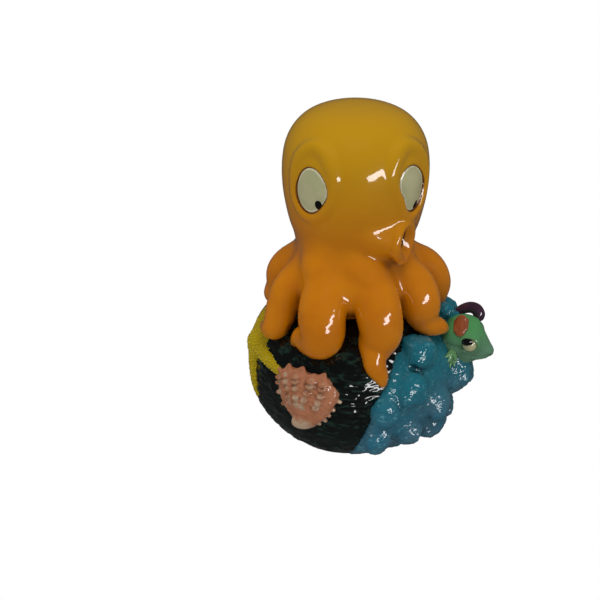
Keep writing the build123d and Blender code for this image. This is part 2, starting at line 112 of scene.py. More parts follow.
def melt(one, other, reach):
    """The nearer of two distances, with the corner between them rounded over a reach."""
    if reach == 0:
        return np.minimum(one, other)
    near = np.maximum(reach - np.abs(one - other), 0) / reach
    return np.minimum(one, other) - near * near * reach / 4


def trim(one, other, reach):
    """The farther of two distances, with the edge between them rounded over a reach."""
    return -melt(-one, -other, reach)


class Clay:
    """Distances to a surface on a regular grid of grains, in millimetres round the ornament's axis."""

    def __init__(self, low, high, grain):
        self.low = np.array(low, np.float32)
        self.grain = grain
        counts = np.ceil((np.array(high) - self.low) / grain).astype(int) + 1
        self.depth = np.full(counts, far_away, np.float32)
        self.rows = [self.low[axis] + grain * np.arange(counts[axis], dtype=np.float32) for axis in range(3)]

    def window(self, low, high):
        """The grains between two corners, and their places along X, Y and Z."""
        cuts = tuple(slice(int(np.searchsorted(row, start)), int(np.searchsorted(row, end)))
                     for row, start, end in zip(self.rows, low, high))
        x, y, z = (row[cut] for row, cut in zip(self.rows, cuts))
        return cuts, x[:, None, None], y[None, :, None], z[None, None, :]

    def add(self, form, soft=0.0, joint=melt):
        """Joins a form to the clay, melting the joint over a reach."""
        distance, low, high = form
        margin = soft + clay_margin
        cuts, x, y, z = self.window(np.array(low) - margin, np.array(high) + margin)
        self.depth[cuts] = joint(self.depth[cuts], distance(x, y, z), soft)

    def carve(self, form, soft=0.0):
        """Cuts a form out of the clay, with its edge rounded over a reach."""
        self.add(form, soft, lambda clay, cutter, reach: trim(clay, -cutter, reach))

    def at(self, places):
        """Distance at any places, read between the grains."""
        spot = (places - self.low) / self.grain
        top = np.array(self.depth.shape) - last_cell
        spot = np.clip(spot, 0, top)
        corner = spot.astype(int)
        part = spot - corner
        value = 0
        for step in np.ndindex(2, 2, 2):
            weight = np.prod(np.where(step, part, 1 - part), axis=1)
            i, j, k = (corner + step).T
            value = value + weight * self.depth[i, j, k]
        return value

    def slope(self, places):
        """The outward direction at any places."""
        found = np.zeros_like(places)
        for axis in range(3):
            step = np.zeros(3)
            step[axis] = self.grain
            found[:, axis] = self.at(places + step) - self.at(places - step)
        length = np.linalg.norm(found, axis=1, keepdims=True)
        return found / np.maximum(length, least)

    def surface(self):
        """Points and quads of the surface, drawn onto the exact zero of the distances."""
        block = openvdb.FloatGrid(far_away)
        block.copyFromArray(self.depth)
        points, quads = block.convertToQuads(isovalue=0.0)
        points = points * self.grain + self.low
        for _ in range(surface_passes):
            points = points - self.slope(points) * self.at(points)[:, None]
        return points, quads[:, ::-1].tolist()

    def hollows(self, points, reaches=hollow_reaches):
        """How enclosed each point is, from 0 in the open to 1 in a deep crease."""
        outward = self.slope(points)
        closed = 0
        for reach in reaches:
            closed = closed + np.clip(1 - self.at(points + outward * reach) / reach, 0, 1)
        return closed / len(reaches)


# %% Forms to add or carve
def ball(centre, radii):
    """An ellipsoid, by its centre and its three half sizes."""
    centre = np.array(centre, float)
    radii = np.array(radii, float) * np.ones(3)

    def distance(x, y, z):
        reach = np.sqrt(((x - centre[0]) / radii[0]) ** 2 + ((y - centre[1]) / radii[1]) ** 2
                        + ((z - centre[2]) / radii[2]) ** 2)
        return (reach - 1) * radii.min()
    return distance, centre - radii, centre + radii


def limb(route):
    """A tapering limb through rows of x, y, z and girth, which is half its width."""
    route = np.array(route, float)
    girth = route[:, 3].max()

    def distance(x, y, z):
        nearest = far_away
        for start, end in zip(route, route[1:]):
            run = end[:3] - start[:3]
            across = (x - start[0], y - start[1], z - start[2])
            along = np.clip(sum(a * r for a, r in zip(across, run)) / run.dot(run), 0, 1)
            gap = np.sqrt(sum((a - along * r) ** 2 for a, r in zip(across, run)))
            nearest = np.minimum(nearest, gap - (start[3] + (end[3] - start[3]) * along))
        return nearest
    return distance, route[:, :3].min(0) - girth, route[:, :3].max(0) + girth


def turned(outline, table_step=0.25):
    """A form turned about the axis, from rows of radius and height, bottom to top."""
    outline = np.array(outline, float)
    low = outline[:, 1].min()
    high = outline[:, 1].max()
    widest = outline[:, 0].max()
    margin = 14.0
    radii = np.arange(0, widest + margin, table_step)
    heights = np.arange(low - margin, high + margin, table_step)
    spots = np.stack(np.meshgrid(radii, heights, indexing="ij"), -1)
    nearest = np.full(spots.shape[:2], far_away)
    for start, end in zip(outline, outline[1:]):
        run = end - start
        along = np.clip(((spots - start) @ run) / max(run.dot(run), least), 0, 1)
        nearest = np.minimum(nearest, np.linalg.norm(spots - start - along[..., None] * run, axis=-1))
    edge = np.interp(heights, outline[:, 1], outline[:, 0])
    inside = (radii[:, None] < edge[None, :]) & (heights > low)[None, :] & (heights < high)[None, :]
    floor_gap = np.where(radii[:, None] < outline[0, 0], np.abs(heights - low)[None, :], far_away)
    nearest = np.minimum(nearest, floor_gap)
    table = np.where(inside, -nearest, nearest)

    def distance(x, y, z):
        reach = np.clip(np.hypot(x, y) / table_step, 0, len(radii) - last_cell) + z * 0
        level = np.clip((z - heights[0]) / table_step, 0, len(heights) - last_cell) + reach * 0
        i = reach.astype(int)
        j = level.astype(int)
        u = reach - i
        v = level - j
        return ((table[i, j] * (1 - u) + table[i + 1, j] * u) * (1 - v)
                + (table[i, j + 1] * (1 - u) + table[i + 1, j + 1] * u) * v)
    return distance, (-widest, -widest, low), (widest, widest, high)


# %% Turn clay into a Blender piece
def lay_out(name, points, faces, marks=()):
    """A smooth-shaded object from points round the axis, in millimetres, with named values at its points."""
    mesh = bpy.data.meshes.new(name)
    places = (np.array(points) + axis_place) * mm
    mesh.from_pydata(places.tolist(), [], faces)
    for mark, values in dict(marks).items():
        layer = mesh.attributes.new(mark, "FLOAT", "POINT")
        layer.data.foreach_set("value", np.array(values, np.float32))
    mesh.shade_smooth()
    mesh.validate()
    piece = bpy.data.objects.new(name, mesh)
    bpy.context.scene.collection.objects.link(piece)
    return piece


def cast(name, clay, reaches=hollow_reaches):
    """A piece from clay, which knows its hollows."""
    points, quads = clay.surface()
    return lay_out(name, points, quads, {"hollow": clay.hollows(points, reaches)})


def show(piece, paint, body_slot, *nodes):
    """Paints a piece that no tree painted, and puts it on the one body for the nodes that it stands for."""
    if not piece.data.materials:
        piece.data.materials.append(paint)
    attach(piece, "root")
    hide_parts(*nodes)
    corners = np.array([tuple(vertex.co) for vertex in piece.data.vertices]) / mm
    print(piece.name, len(piece.data.polygons), "faces", corners.min(0).round(1), corners.max(0).round(1))


# %% [markdown]
# ## Paint
# Acrylic paint on resin is matt by itself. The wet look comes from the varnish, a clear layer with its own
# sharp reflection over a rougher coloured one, so each paint is a Principled shader with a coat. Brushed
# paint is never even: it thins to a lighter tone on ridges. The darker tone in creases is painted shade as
# well as pooled wash, and the piece tells the material how enclosed it is by a value at its points.

# %% Colours and shader helpers
varnish_ior = 1.5
varnish_roughness = 0.07
paint_roughness = 0.38
paint_sheen = 0.04       # paint shines little by itself once varnish wets it
patch_edge_shares = (0.35, 0.65)     # of the noise, from all of one tone to all of the other
patch_detail = 3.0
stipple_detail = 2.0
skip_detail = 4.0


def tone(code):
    """A linear colour from an sRGB hex code."""
    parts = [int(code[place:place + 2], 16) / 255 for place in (1, 3, 5)]
    linear = [part / 12.92 if part <= 0.04045 else ((part + 0.055) / 1.055) ** 2.4 for part in parts]
    return (*linear, 1.0)


def add_node(tree, kind, settings=(), inputs=()):
    """Adds a node with its settings, and sets or links each of its inputs."""
    node = tree.nodes.new(kind)
    for name, value in dict(settings).items():
        setattr(node, name, value)
    for name, value in dict(inputs).items():
        if isinstance(value, bpy.types.NodeSocket):
            tree.links.new(value, node.inputs[name])
        else:
            node.inputs[name].default_value = value
    return node


def painted_resin(name, base, mottle, patch_mm=9.0, wash_and_shade="#3a1c08", wash_and_shade_start=0.45, high=None,
                  high_span=(0, 1), stipple_mm=0.0, stipple_rise_mm=0.0):
    """Varnished acrylic on cast resin: two tones in patches, one by height, and in the hollows a wash that is
    painted shade too.

    A stipple is relief that is too fine for the mesh, so it only bends the light."""
    material = bpy.data.materials.new(name)
    material.use_nodes = True
    tree = material.node_tree
    tree.nodes.clear()
    where = add_node(tree, "ShaderNodeTexCoord").outputs["Object"]
    patches = add_node(tree, "ShaderNodeTexNoise", {},
                       {"Vector": where, "Scale": 1 / (patch_mm * mm), "Detail": patch_detail})
    spread = add_node(tree, "ShaderNodeMapRange", {},
                      {"Value": patches.outputs["Fac"], "From Min": patch_edge_shares[0],
                       "From Max": patch_edge_shares[1]})
    layers = [(spread, mottle)]
    if high:
        split = add_node(tree, "ShaderNodeSeparateXYZ", {}, {"Vector": where})
        climb = add_node(tree, "ShaderNodeMapRange", {"interpolation_type": "SMOOTHSTEP"},
                         {"Value": split.outputs["Z"], "From Min": high_span[0] * mm,
                          "From Max": high_span[1] * mm})
        layers.append((climb, high))
    # painted shade: the wash colour darkens every hollow, where shade falls, as well as where wash would pool
    hollow = add_node(tree, "ShaderNodeAttribute", {"attribute_name": "hollow"})
    wash_and_shade_cover = add_node(tree, "ShaderNodeMapRange", {"interpolation_type": "SMOOTHSTEP"},
                      {"Value": hollow.outputs["Fac"], "From Min": wash_and_shade_start, "From Max": 1.0})
    layers.append((wash_and_shade_cover, wash_and_shade))
    colour = tone(base)
    for cover, code in layers:
        mixed = add_node(tree, "ShaderNodeMix", {"data_type": "RGBA"},
                         {0: cover.outputs["Result"], 6: colour, 7: tone(code)})
        colour = mixed.outputs[2]
    shader = add_node(tree, "ShaderNodeBsdfPrincipled", {},
                      {"Base Color": colour, "Roughness": paint_roughness, "Specular IOR Level": paint_sheen,
                       "IOR": varnish_ior, "Coat Weight": 1.0, "Coat Roughness": varnish_roughness,
                       "Coat IOR": varnish_ior})
    if stipple_mm:
        ripple = add_node(tree, "ShaderNodeTexNoise", {},
                          {"Vector": where, "Scale": 1 / (stipple_mm * mm), "Detail": stipple_detail})
        relief = add_node(tree, "ShaderNodeBump", {},
                          {"Height": ripple.outputs["Fac"], "Distance": stipple_rise_mm * mm,
                           "Strength": 1.0})
        for layer in ("Normal", "Coat Normal"):
            tree.links.new(relief.outputs["Normal"], shader.inputs[layer])
    add_node(tree, "ShaderNodeOutputMaterial", {}, {"Surface": shader.outputs["BSDF"]})
    print("paint", name, "nodes", len(tree.nodes))
    return material


# %% Paint brushed over what stands out
def dry_brush_and_highlight(material, tone_code, start=0.45, end=0.95, patch_mm=5.0):
    """Adds a dry-brushed tone on what stands out, broken up where the brush skipped; on the coral it is also
    a painted highlight.
    """
    tree = material.node_tree
    shader = next(node for node in tree.nodes if node.type == "BSDF_PRINCIPLED")
    under = shader.inputs["Base Color"].links[0].from_socket
    ridge = add_node(tree, "ShaderNodeAttribute", {"attribute_name": "ridge"})
    where = add_node(tree, "ShaderNodeTexCoord").outputs["Object"]
    skip = add_node(tree, "ShaderNodeTexNoise", {},
                    {"Vector": where, "Scale": 1 / (patch_mm * mm), "Detail": skip_detail})
    broken = add_node(tree, "ShaderNodeMath", {"operation": "MULTIPLY"},
                      {0: ridge.outputs["Fac"], 1: skip.outputs["Fac"]})
    cover = add_node(tree, "ShaderNodeMapRange", {"interpolation_type": "SMOOTHSTEP"},
                     {"Value": broken.outputs[0], "From Min": start / 2, "From Max": end / 2})
    mixed = add_node(tree, "ShaderNodeMix", {"data_type": "RGBA"},
                     {0: cover.outputs["Result"], 6: under, 7: tone(tone_code)})
    tree.links.new(mixed.outputs[2], shader.inputs["Base Color"])


# %% [markdown]
# ## The octopus
# Head, neck and web are one turned form, and eight limbs and the siphon melt into it. In the clay their
# joints round off over five or six millimetres at the web, and less where two arms meet. The eyes lie in
# bowls inside a raised lid, which swells to a brow above each eye.

# %% Head, neck and web
body_profile_shares = (  # of the head's radius and of the body's height over the seat
    (0.40, -0.03), (0.56, 0.0), (0.74, 0.03), (0.86, 0.07), (0.90, 0.11), (0.905, 0.155), (0.885, 0.21),
    (0.825, 0.275), (0.81, 0.325), (0.84, 0.39), (0.90, 0.455), (0.945, 0.525), (0.98, 0.60),
    (0.995, 0.68), (0.985, 0.76), (0.945, 0.83), (0.862, 0.89), (0.73, 0.94), (0.55, 0.973),
    (0.31, 0.993), (0.0, 1.0))
body_outline = smooth_route([(head_radius * radius, seat_height + body_height * height)
                             for radius, height in body_profile_shares], 6)
body_outline[:, 0] = np.maximum(body_outline[:, 0], 0)


def head_reach(height):
    """Radius of the head at a height."""
    return np.interp(height, body_outline[:, 1], body_outline[:, 0])


# %% Arms
arm_girth = 7.4
arm_route_shares = {     # azimuth, and shares of the rock's radius, the seat's height and the arm's girth
    "arm_left_front": (
        (-61, 0.38, 1.35, 0.78), (-61, 0.55, 1.335, 0.76), (-61, 0.695, 1.25, 0.74),
        (-61, 0.765, 1.11, 0.72), (-60, 0.81, 1.00, 0.68), (-61, 0.85, 0.945, 0.58),
        (-67, 0.87, 0.91, 0.40), (-72, 0.875, 0.885, 0.24)),
    "arm_front_left": (
        (-25, 0.42, 1.36, 1.06), (-24, 0.62, 1.315, 1.09), (-22.5, 0.79, 1.20, 1.07),
        (-21, 0.845, 1.05, 0.97), (-27.5, 0.823, 0.985, 0.75), (-36, 0.792, 0.967, 0.56),
        (-42, 0.803, 0.916, 0.28)),
    "arm_front_right": (
        (14.5, 0.43, 1.36, 1.02), (14.5, 0.635, 1.325, 1.04), (15.5, 0.765, 1.215, 1.03),
        (16.5, 0.805, 1.08, 0.96), (14, 0.80, 0.985, 0.82), (11, 0.885, 0.925, 0.56),
        (11.2, 0.925, 0.855, 0.49), (13.8, 0.948, 0.782, 0.36), (15.0, 0.962, 0.725, 0.22)),
    "arm_right_front": (
        (52, 0.38, 1.355, 0.94), (56, 0.54, 1.335, 0.95), (56, 0.665, 1.27, 0.97),
        (55, 0.735, 1.17, 0.95), (57, 0.755, 1.06, 0.77), (57.5, 0.82, 0.99, 0.56),
        (63, 0.885, 0.95, 0.42), (68.5, 0.92, 0.90, 0.25)),
    "arm_right": (
        (97, 0.36, 1.31, 0.80), (97, 0.50, 1.315, 0.80), (97, 0.65, 1.29, 0.78), (97, 0.755, 1.21, 0.77),
        (97, 0.81, 1.11, 0.73), (97, 0.815, 1.02, 0.62), (98, 0.825, 0.95, 0.44),
        (100, 0.86, 0.90, 0.26)),
    "arm_back_right": (
        (152, 0.40, 1.35, 1.00), (152, 0.58, 1.29, 1.02), (151, 0.73, 1.175, 1.00),
        (150, 0.815, 1.05, 0.95), (148, 0.88, 0.95, 0.80), (143, 0.93, 0.87, 0.60),
        (136, 0.965, 0.81, 0.42), (129, 0.98, 0.77, 0.25)),
    "arm_back_left": (
        (205, 0.40, 1.35, 1.02), (205, 0.585, 1.29, 1.04), (207, 0.73, 1.175, 1.03),
        (208, 0.82, 1.045, 0.95), (204, 0.865, 0.95, 0.76), (197, 0.885, 0.88, 0.55),
        (189, 0.91, 0.83, 0.34)),
    "arm_left": (
        (-102, 0.36, 1.295, 0.76), (-102, 0.49, 1.295, 0.76), (-102, 0.61, 1.27, 0.74),
        (-102, 0.69, 1.18, 0.73), (-102, 0.70, 1.075, 0.70), (-104, 0.755, 0.98, 0.60),
        (-110, 0.81, 0.925, 0.42), (-117, 0.84, 0.89, 0.25)),
}


def arm_route(name):
    """The smooth centre line of an arm, with its girth."""
    return smooth_route([(*around(azimuth, rock_radius * reach, seat_height * height), arm_girth * girth)
                         for azimuth, reach, height, girth in arm_route_shares[name]])


# %% Eyes and lids on the head
eye_half_height = 7.7
eye_level = 94.7
eye_azimuths = {"left": -38.8, "right": 47.8}
eye_reach_shares = {     # from the middle of the eye, every 45 degrees from its right, anticlockwise
    "left": (0.80, 0.88, 1.01, 0.86, 0.80, 0.95, 0.98, 0.77),
    "right": (0.79, 0.82, 0.99, 1.00, 0.72, 0.69, 1.03, 0.87)}
eye_recess = 0.6
eye_bowl_reach = (13.0, 13.0, 11.0)  # the bowl lies within this of the eye's middle
lid_places = 49
lid_offset = 1.9         # from the rim of the eye to the crest of its lid
lid_girth = 1.5
lid_proud = 0.75
brow_lift = 3.6          # how much further from the rim the crest is above the eye
brow_swell = 0.9         # how much thicker and prouder the lid is there
brow_power = 1.6         # how narrow the brow is


def eye_reach(side, angle):
    """Distance from the middle of an eye to its rim, in a direction."""
    reaches = np.array(eye_reach_shares[side]) * eye_half_height
    waves = np.fft.rfft(reaches) / len(reaches)
    found = waves[0].real + 0 * angle
    for order in range(1, len(waves)):
        weight = 1 if order == len(waves) - 1 else 2
        wave = waves[order].real * np.cos(order * angle) - waves[order].imag * np.sin(order * angle)
        found = found + weight * wave
    return found


def eye_hollow(side):
    """The bowl that an eye lies in: its outline, down to a little under the surface of the head."""
    middle = around(eye_azimuths[side], head_radius, eye_level)
    turn = math.radians(eye_azimuths[side])

    def distance(x, y, z):
        azimuth = np.arctan2(x * math.cos(turn) + y * math.sin(turn), x * math.sin(turn) - y * math.cos(turn))
        across = azimuth * head_radius
        up = z - eye_level
        rim = np.hypot(across, up) - eye_reach(side, np.arctan2(up, across))
        floor = (head_reach(z) - eye_recess) - np.hypot(x, y)
        return np.maximum(rim, floor)
    reach = np.array(eye_bowl_reach)
    return distance, middle - reach, middle + reach


def lid_route(side):
    """The ring of the lid round an eye, which swells into a brow above it."""
    rows = []
    for angle in np.linspace(0, 2 * math.pi, lid_places):
        over = max(math.sin(angle), 0) ** brow_power
        reach = eye_reach(side, angle) + lid_offset + brow_lift * over
        across = reach * math.cos(angle)
        up = reach * math.sin(angle)
        girth = lid_girth * (1 + brow_swell * over)
        out = head_reach(eye_level + up) - girth + lid_proud * (1 + brow_swell * over)
        place = around(eye_azimuths[side] + math.degrees(across / head_radius), out, eye_level + up)
        rows.append((*place, girth))
    return rows


# %% Siphon, a funnel with a rolled lip round a hollow, upright end
siphon_radius = 6.8
siphon_route_shares = (  # azimuth, reach of the head radius, height of the body height, girth
    (-3.8, 0.621, 0.490, 0.65), (11.0, 0.758, 0.480, 0.735), (25.4, 0.800, 0.470, 0.87),
    (35.0, 0.857, 0.462, 0.94), (39.8, 0.968, 0.453, 1.0))
siphon_blunt = 0.9       # how far the end stands beyond the last place of the route
siphon_edge_round = 1.6
siphon_facing = 60.0     # the way its end faces, from the front
siphon_lip_places = 33
siphon_lip_reach = 5.3
siphon_lip_girth = 1.4
siphon_lip_inset = 0.84  # from the flat end back to the middle of the lip
siphon_lip_drop = 1.7    # how far the lip sags at the bottom
siphon_sag_power = 4     # keeps the sag to the bottom
siphon_bell_ahead = 1.5
siphon_bell_radii = (3.7, 3.7, 4.9)
siphon_throat_depth = 1.6
siphon_throat_lift = 0.8
siphon_throat_radii = (1.9, 1.9, 3.0)
siphon_shade = (         # azimuth, reach and height of the crease below it, along which a shadow is painted
    (8, 20.6, 74.0), (15, 21.0, 71.6), (25, 21.8, 69.6), (36, 23.0, 68.8))
siphon_shade_girth = 0.9
siphon_shade_reach = 9.0 # how far from the crease the painted shadow fades out


def trimmed(form, place, outward, soft):
    """A form cut off by a flat face at a place, with its edge rounded over a reach."""
    whole, low, high = form

    def distance(x, y, z):
        beyond = (x - place[0]) * outward[0] + (y - place[1]) * outward[1] + (z - place[2]) * outward[2]
        return trim(whole(x, y, z), beyond, soft)
    return distance, low, high


siphon_route = []
for azimuth, reach_share, height_share, girth_share in siphon_route_shares:
    place = around(azimuth, head_radius * reach_share, seat_height + body_height * height_share)
    siphon_route.append((*place, siphon_radius * girth_share))
siphon_ahead = around(siphon_facing, 1, 0)
siphon_across = around(siphon_facing + 90, 1, 0)
siphon_face = np.array(siphon_route[-1][:3]) + siphon_ahead * siphon_blunt
siphon_lip = []
for angle in np.linspace(0, 2 * math.pi, siphon_lip_places):
    sag = siphon_lip_drop * max(-math.sin(angle), 0) ** siphon_sag_power
    across = siphon_across * siphon_lip_reach * math.cos(angle)
    up = np.array([0, 0, siphon_lip_reach * math.sin(angle) - sag])
    place = siphon_face - siphon_ahead * siphon_lip_inset + across + up
    siphon_lip.append((*place, siphon_lip_girth))
siphon_bell = ball(siphon_face + siphon_ahead * siphon_bell_ahead, siphon_bell_radii)
siphon_throat_middle = siphon_face - siphon_ahead * siphon_throat_depth + np.array([0, 0, siphon_throat_lift])
siphon_throat = ball(siphon_throat_middle, siphon_throat_radii)


# %% Model the octopus
octopus_block = ((-38, -44, 30), (42, 40, 120))
octopus_grain = 0.55
arm_shoulders = ((-34.0, 67.6), (6.0, 67.6), (-5.0, 60.5))   # azimuth and height of swellings in the web
shoulder_reach = 19.2
shoulder_radii = (7.2, 7.2, 6.2)
web_melt = 5.5           # a melt is how far a joint's corner is rounded over, a round is the same for an edge
arm_melt = 3.5
lid_melt = 1.5
siphon_melt = 2.6
siphon_lip_melt = 1.0
eye_bowl_round = 0.8
siphon_bell_round = 0.9
siphon_throat_round = 0.8
crease_width = 0.55      # of the painted dark brown round each eye, a line with shade in its recess, and of the painted shade in the siphon's mouth
eye_rim_line_and_shade = 1.2
siphon_mouth_shade = 1.5
siphon_painted_shadow = 0.74
octopus = Clay(*octopus_block, octopus_grain)
octopus.add(turned(body_outline))
limbs = Clay(*octopus_block, octopus_grain)
for arm_name in arm_route_shares:
    limbs.add(limb(arm_route(arm_name)), arm_melt)
for azimuth, height in arm_shoulders:
    limbs.add(ball(around(azimuth, shoulder_reach, height), shoulder_radii), arm_melt)
octopus.depth = melt(octopus.depth, limbs.depth, web_melt)
funnel = trimmed(limb(smooth_route(siphon_route)), siphon_face, siphon_ahead, siphon_edge_round)
octopus.add(funnel, siphon_melt)
octopus.add(limb(siphon_lip), siphon_lip_melt)
for side in eye_azimuths:
    octopus.add(limb(lid_route(side)), lid_melt)
for side in eye_azimuths:
    octopus.carve(eye_hollow(side), eye_bowl_round)
octopus.carve(siphon_bell, siphon_bell_round)
octopus.carve(siphon_throat, siphon_throat_round)
points, quads = octopus.surface()
# painted line and shade: each eye's rim is darkened brown, for the line round it and the shade in its recess
washes_and_shades = [(eye_hollow(side)[0](*points.T), eye_rim_line_and_shade, crease_width) for side in eye_azimuths]
# painted shadow: the skin under the siphon is darkened, strongest at the crease
shade = limb([(*around(*row), siphon_shade_girth) for row in siphon_shade])
washes_and_shades.append((np.maximum(shade[0](*points.T), 0), siphon_painted_shadow, siphon_shade_reach))
# painted shade: the siphon's mouth is darkened where its hollow lies in shade
washes_and_shades.append((siphon_throat[0](*points.T), siphon_mouth_shade, crease_width))
# painted shade: how enclosed each point is darkens the creases between the arms, under the lids and at the
# web
creases = octopus.hollows(points)
for gap, strength, width in washes_and_shades:
    creases = np.maximum(creases, np.clip(strength - np.abs(gap) / width, 0, 1))
skin = lay_out("octopus_skin", points, quads, {"hollow": creases})
octopus_paint = painted_resin("orange acrylic under varnish", "#c97908", "#be6d06", patch_mm=14.0,
                              wash_and_shade="#5a2a08", wash_and_shade_start=0.5, high="#bb8b0e", high_span=(66, 112))
show(skin, octopus_paint, "octopus_orange", "mantle", "siphon", *arm_route_shares)

# %% [markdown]
# ## Eyes
# Each eye is a thin patch of cream enamel that fills its bowl and crowns a little, with a small black dot of
# paint that stands proud of it. A filled curve would be flat, and the head is not, so the patch is a fan of
# rings, each laid on the head at its own height, closed behind so that it is a solid chip.

# %% Eye and pupil chips
eye_rings = 24
eye_spokes = 72
eye_border = 0.25        # the chip tucks this far under the rim
eye_crown = 0.55
eye_edge = 0.16          # the border of the enamel stands up a little
eye_edge_share = 0.91    # how far out it is highest
eye_edge_width_share = 0.06
eye_rim_slope = 9.0      # how fast the light tone of the border comes up toward the rim
eye_rim_start = 7.4      # it starts at this over the slope, as a share of the way out
eye_thickness = 1.6
pupil_rings = 12
pupil_spokes = 36
pupil_places = {"left": (3.1, -3.9), "right": (1.9, -6.2)}     # across and up from the middle of the eye
pupil_radii = {"left": (1.35, 1.65), "right": (0.85, 1.5)}
pupil_tilts = {"left": 0.0, "right": -35.0}
pupil_proud = 0.18
pupil_thickness = 0.8


def ring_spots(rings, spokes):
    """Places on rings round a middle, each by its share of the way out and its angle."""
    return [(ring / rings, 2 * math.pi * spoke / spokes)
            for ring in range(1, rings + 1) for spoke in range(spokes)]


def fan(middle, ring, spokes):
    """Triangles from a middle point to a ring, which is named by its first point."""
    return [(middle, ring + spoke, ring + (spoke + 1) % spokes) for spoke in range(spokes)]


def band(ring, other, spokes):
    """Quads between two rings, each named by its first point."""
    return [(ring + spoke, other + spoke, other + (spoke + 1) % spokes, ring + (spoke + 1) % spokes)
            for spoke in range(spokes)]


def chip_faces(rings, spokes):
    """Faces of a chip: a fan and rings in front, the same behind, and a wall between them."""
    count = 1 + rings * spokes
    front = fan(0, 1, spokes)
    for ring in range(rings - 1):
        front += band(1 + ring * spokes, 1 + (ring + 1) * spokes, spokes)
    back = [tuple(count + corner for corner in face[::-1]) for face in front]
    rim = 1 + (rings - 1) * spokes
    return front + back + band(rim, count + rim, spokes)


def chip(name, side, spots, lifts, thickness, faces, marks=()):
    """A closed chip on the head from flat spots round an eye's middle, each with its height over the bowl."""
    points = []
    for sunk in (0, thickness):
        for (across, up), lift in zip(spots, lifts):
            reach = head_reach(eye_level + up) - eye_recess + (-sunk if sunk else lift)
            azimuth = eye_azimuths[side] + math.degrees(across / head_radius)
            points.append(around(azimuth, reach, eye_level + up))
    return lay_out(name + side, points, faces, marks)


def eye_share(side, across, up):
    """How far out a place on an eye is, from 0 in its middle to 1 at its rim."""
    return np.hypot(across, up) / eye_reach(side, np.arctan2(up, across))


def eye_lift(side, across, up):
    """How far the face of an eye stands over the floor of its bowl."""
    share = eye_share(side, across, up)
    edge = eye_edge * np.exp(-((share - eye_edge_share) / eye_edge_width_share) ** 2)
    return eye_crown * (1 - np.minimum(share, 1) ** 2) + edge


def make_eye(side):
    """The cream chip of an eye, which knows its light border."""
    spots = [(0.0, 0.0)]
    for share, angle in ring_spots(eye_rings, eye_spokes):
        reach = (eye_reach(side, angle) + eye_border) * share
        spots.append((reach * math.cos(angle), reach * math.sin(angle)))
    lifts = [eye_lift(side, *spot) for spot in spots]
    border = [np.clip(eye_share(side, *spot) * eye_rim_slope - eye_rim_start, 0, 1) for spot in spots]
    front_and_back = border + border
    return chip("eye_patch_", side, spots, lifts, eye_thickness, chip_faces(eye_rings, eye_spokes),
                {"ridge": front_and_back})


def make_pupil(side):
    """The black dot of an eye, standing proud of it like a drop of paint."""
    middle = pupil_places[side]
    spots = [middle]
    lifts = [eye_lift(side, *middle) + pupil_proud]
    tilt = math.radians(pupil_tilts[side])
    for share, angle in ring_spots(pupil_rings, pupil_spokes):
        wide = pupil_radii[side][0] * share * math.cos(angle)
        tall = pupil_radii[side][1] * share * math.sin(angle)
        spot = (middle[0] + wide * math.cos(tilt) - tall * math.sin(tilt),
                middle[1] + wide * math.sin(tilt) + tall * math.cos(tilt))
        spots.append(spot)
        lifts.append(eye_lift(side, *spot) + pupil_proud * (1 - share ** 4))
    return chip("pupil_dot_", side, spots, lifts, pupil_thickness, chip_faces(pupil_rings, pupil_spokes))


eye_paint = painted_resin("cream enamel under varnish", "#b4b189", "#a9a880", patch_mm=6.0)
dry_brush_and_highlight(eye_paint, "#d6d0ae")
pupil_paint = painted_resin("black enamel under varnish", "#070707", "#0b0b0b", patch_mm=4.0)
for side in eye_azimuths:
    show(make_eye(side), eye_paint, "eye_white", "eye_" + side)
    show(make_pupil(side), pupil_paint, "pupil_black", "pupil_" + side)

# %% [markdown]
# ## Relief
# The stone's ridges and the coral's wrinkles were pressed into the clay with a wire brush and a stipple tool.
# A bump map would leave the outline smooth, so Geometry Nodes move the points themselves: noise, stretched
# along the brush strokes and folded into ridges, pushes each point along its normal. The same tree keeps the
# height as a value, and the paint reads it to leave a dry-brushed tone on what stands out; on the coral that
# tone is also a painted highlight.

# %% A Geometry Nodes tree that presses relief into a piece
sway_share = 0.25        # the strokes wave once in four of their spacings
sway_detail = 1.0
stroke_detail = 2.0
fold_shares = (0.3, 0.7) # of the noise, which become -1 and 1 before it is folded


def open_tree(name, sockets):
    """A new Geometry Nodes tree with named inputs."""
    tree = bpy.data.node_groups.new(name, "GeometryNodeTree")
    tree.interface.new_socket("Geometry", in_out="INPUT", socket_type="NodeSocketGeometry")
    tree.interface.new_socket("Geometry", in_out="OUTPUT", socket_type="NodeSocketGeometry")
    for label, kind in sockets:
        tree.interface.new_socket(label, in_out="INPUT", socket_type=kind)
    return tree, add_node(tree, "NodeGroupInput").outputs


def close_tree(tree, geometry, paint):
    """Makes any instances real, paints the geometry and hands it out of the tree."""
    real = add_node(tree, "GeometryNodeRealizeInstances", {}, {"Geometry": geometry})
    painted = add_node(tree, "GeometryNodeSetMaterial", {}, {"Geometry": real.outputs[0], "Material": paint})
    add_node(tree, "NodeGroupOutput", {}, {"Geometry": painted.outputs[0]})
    return tree


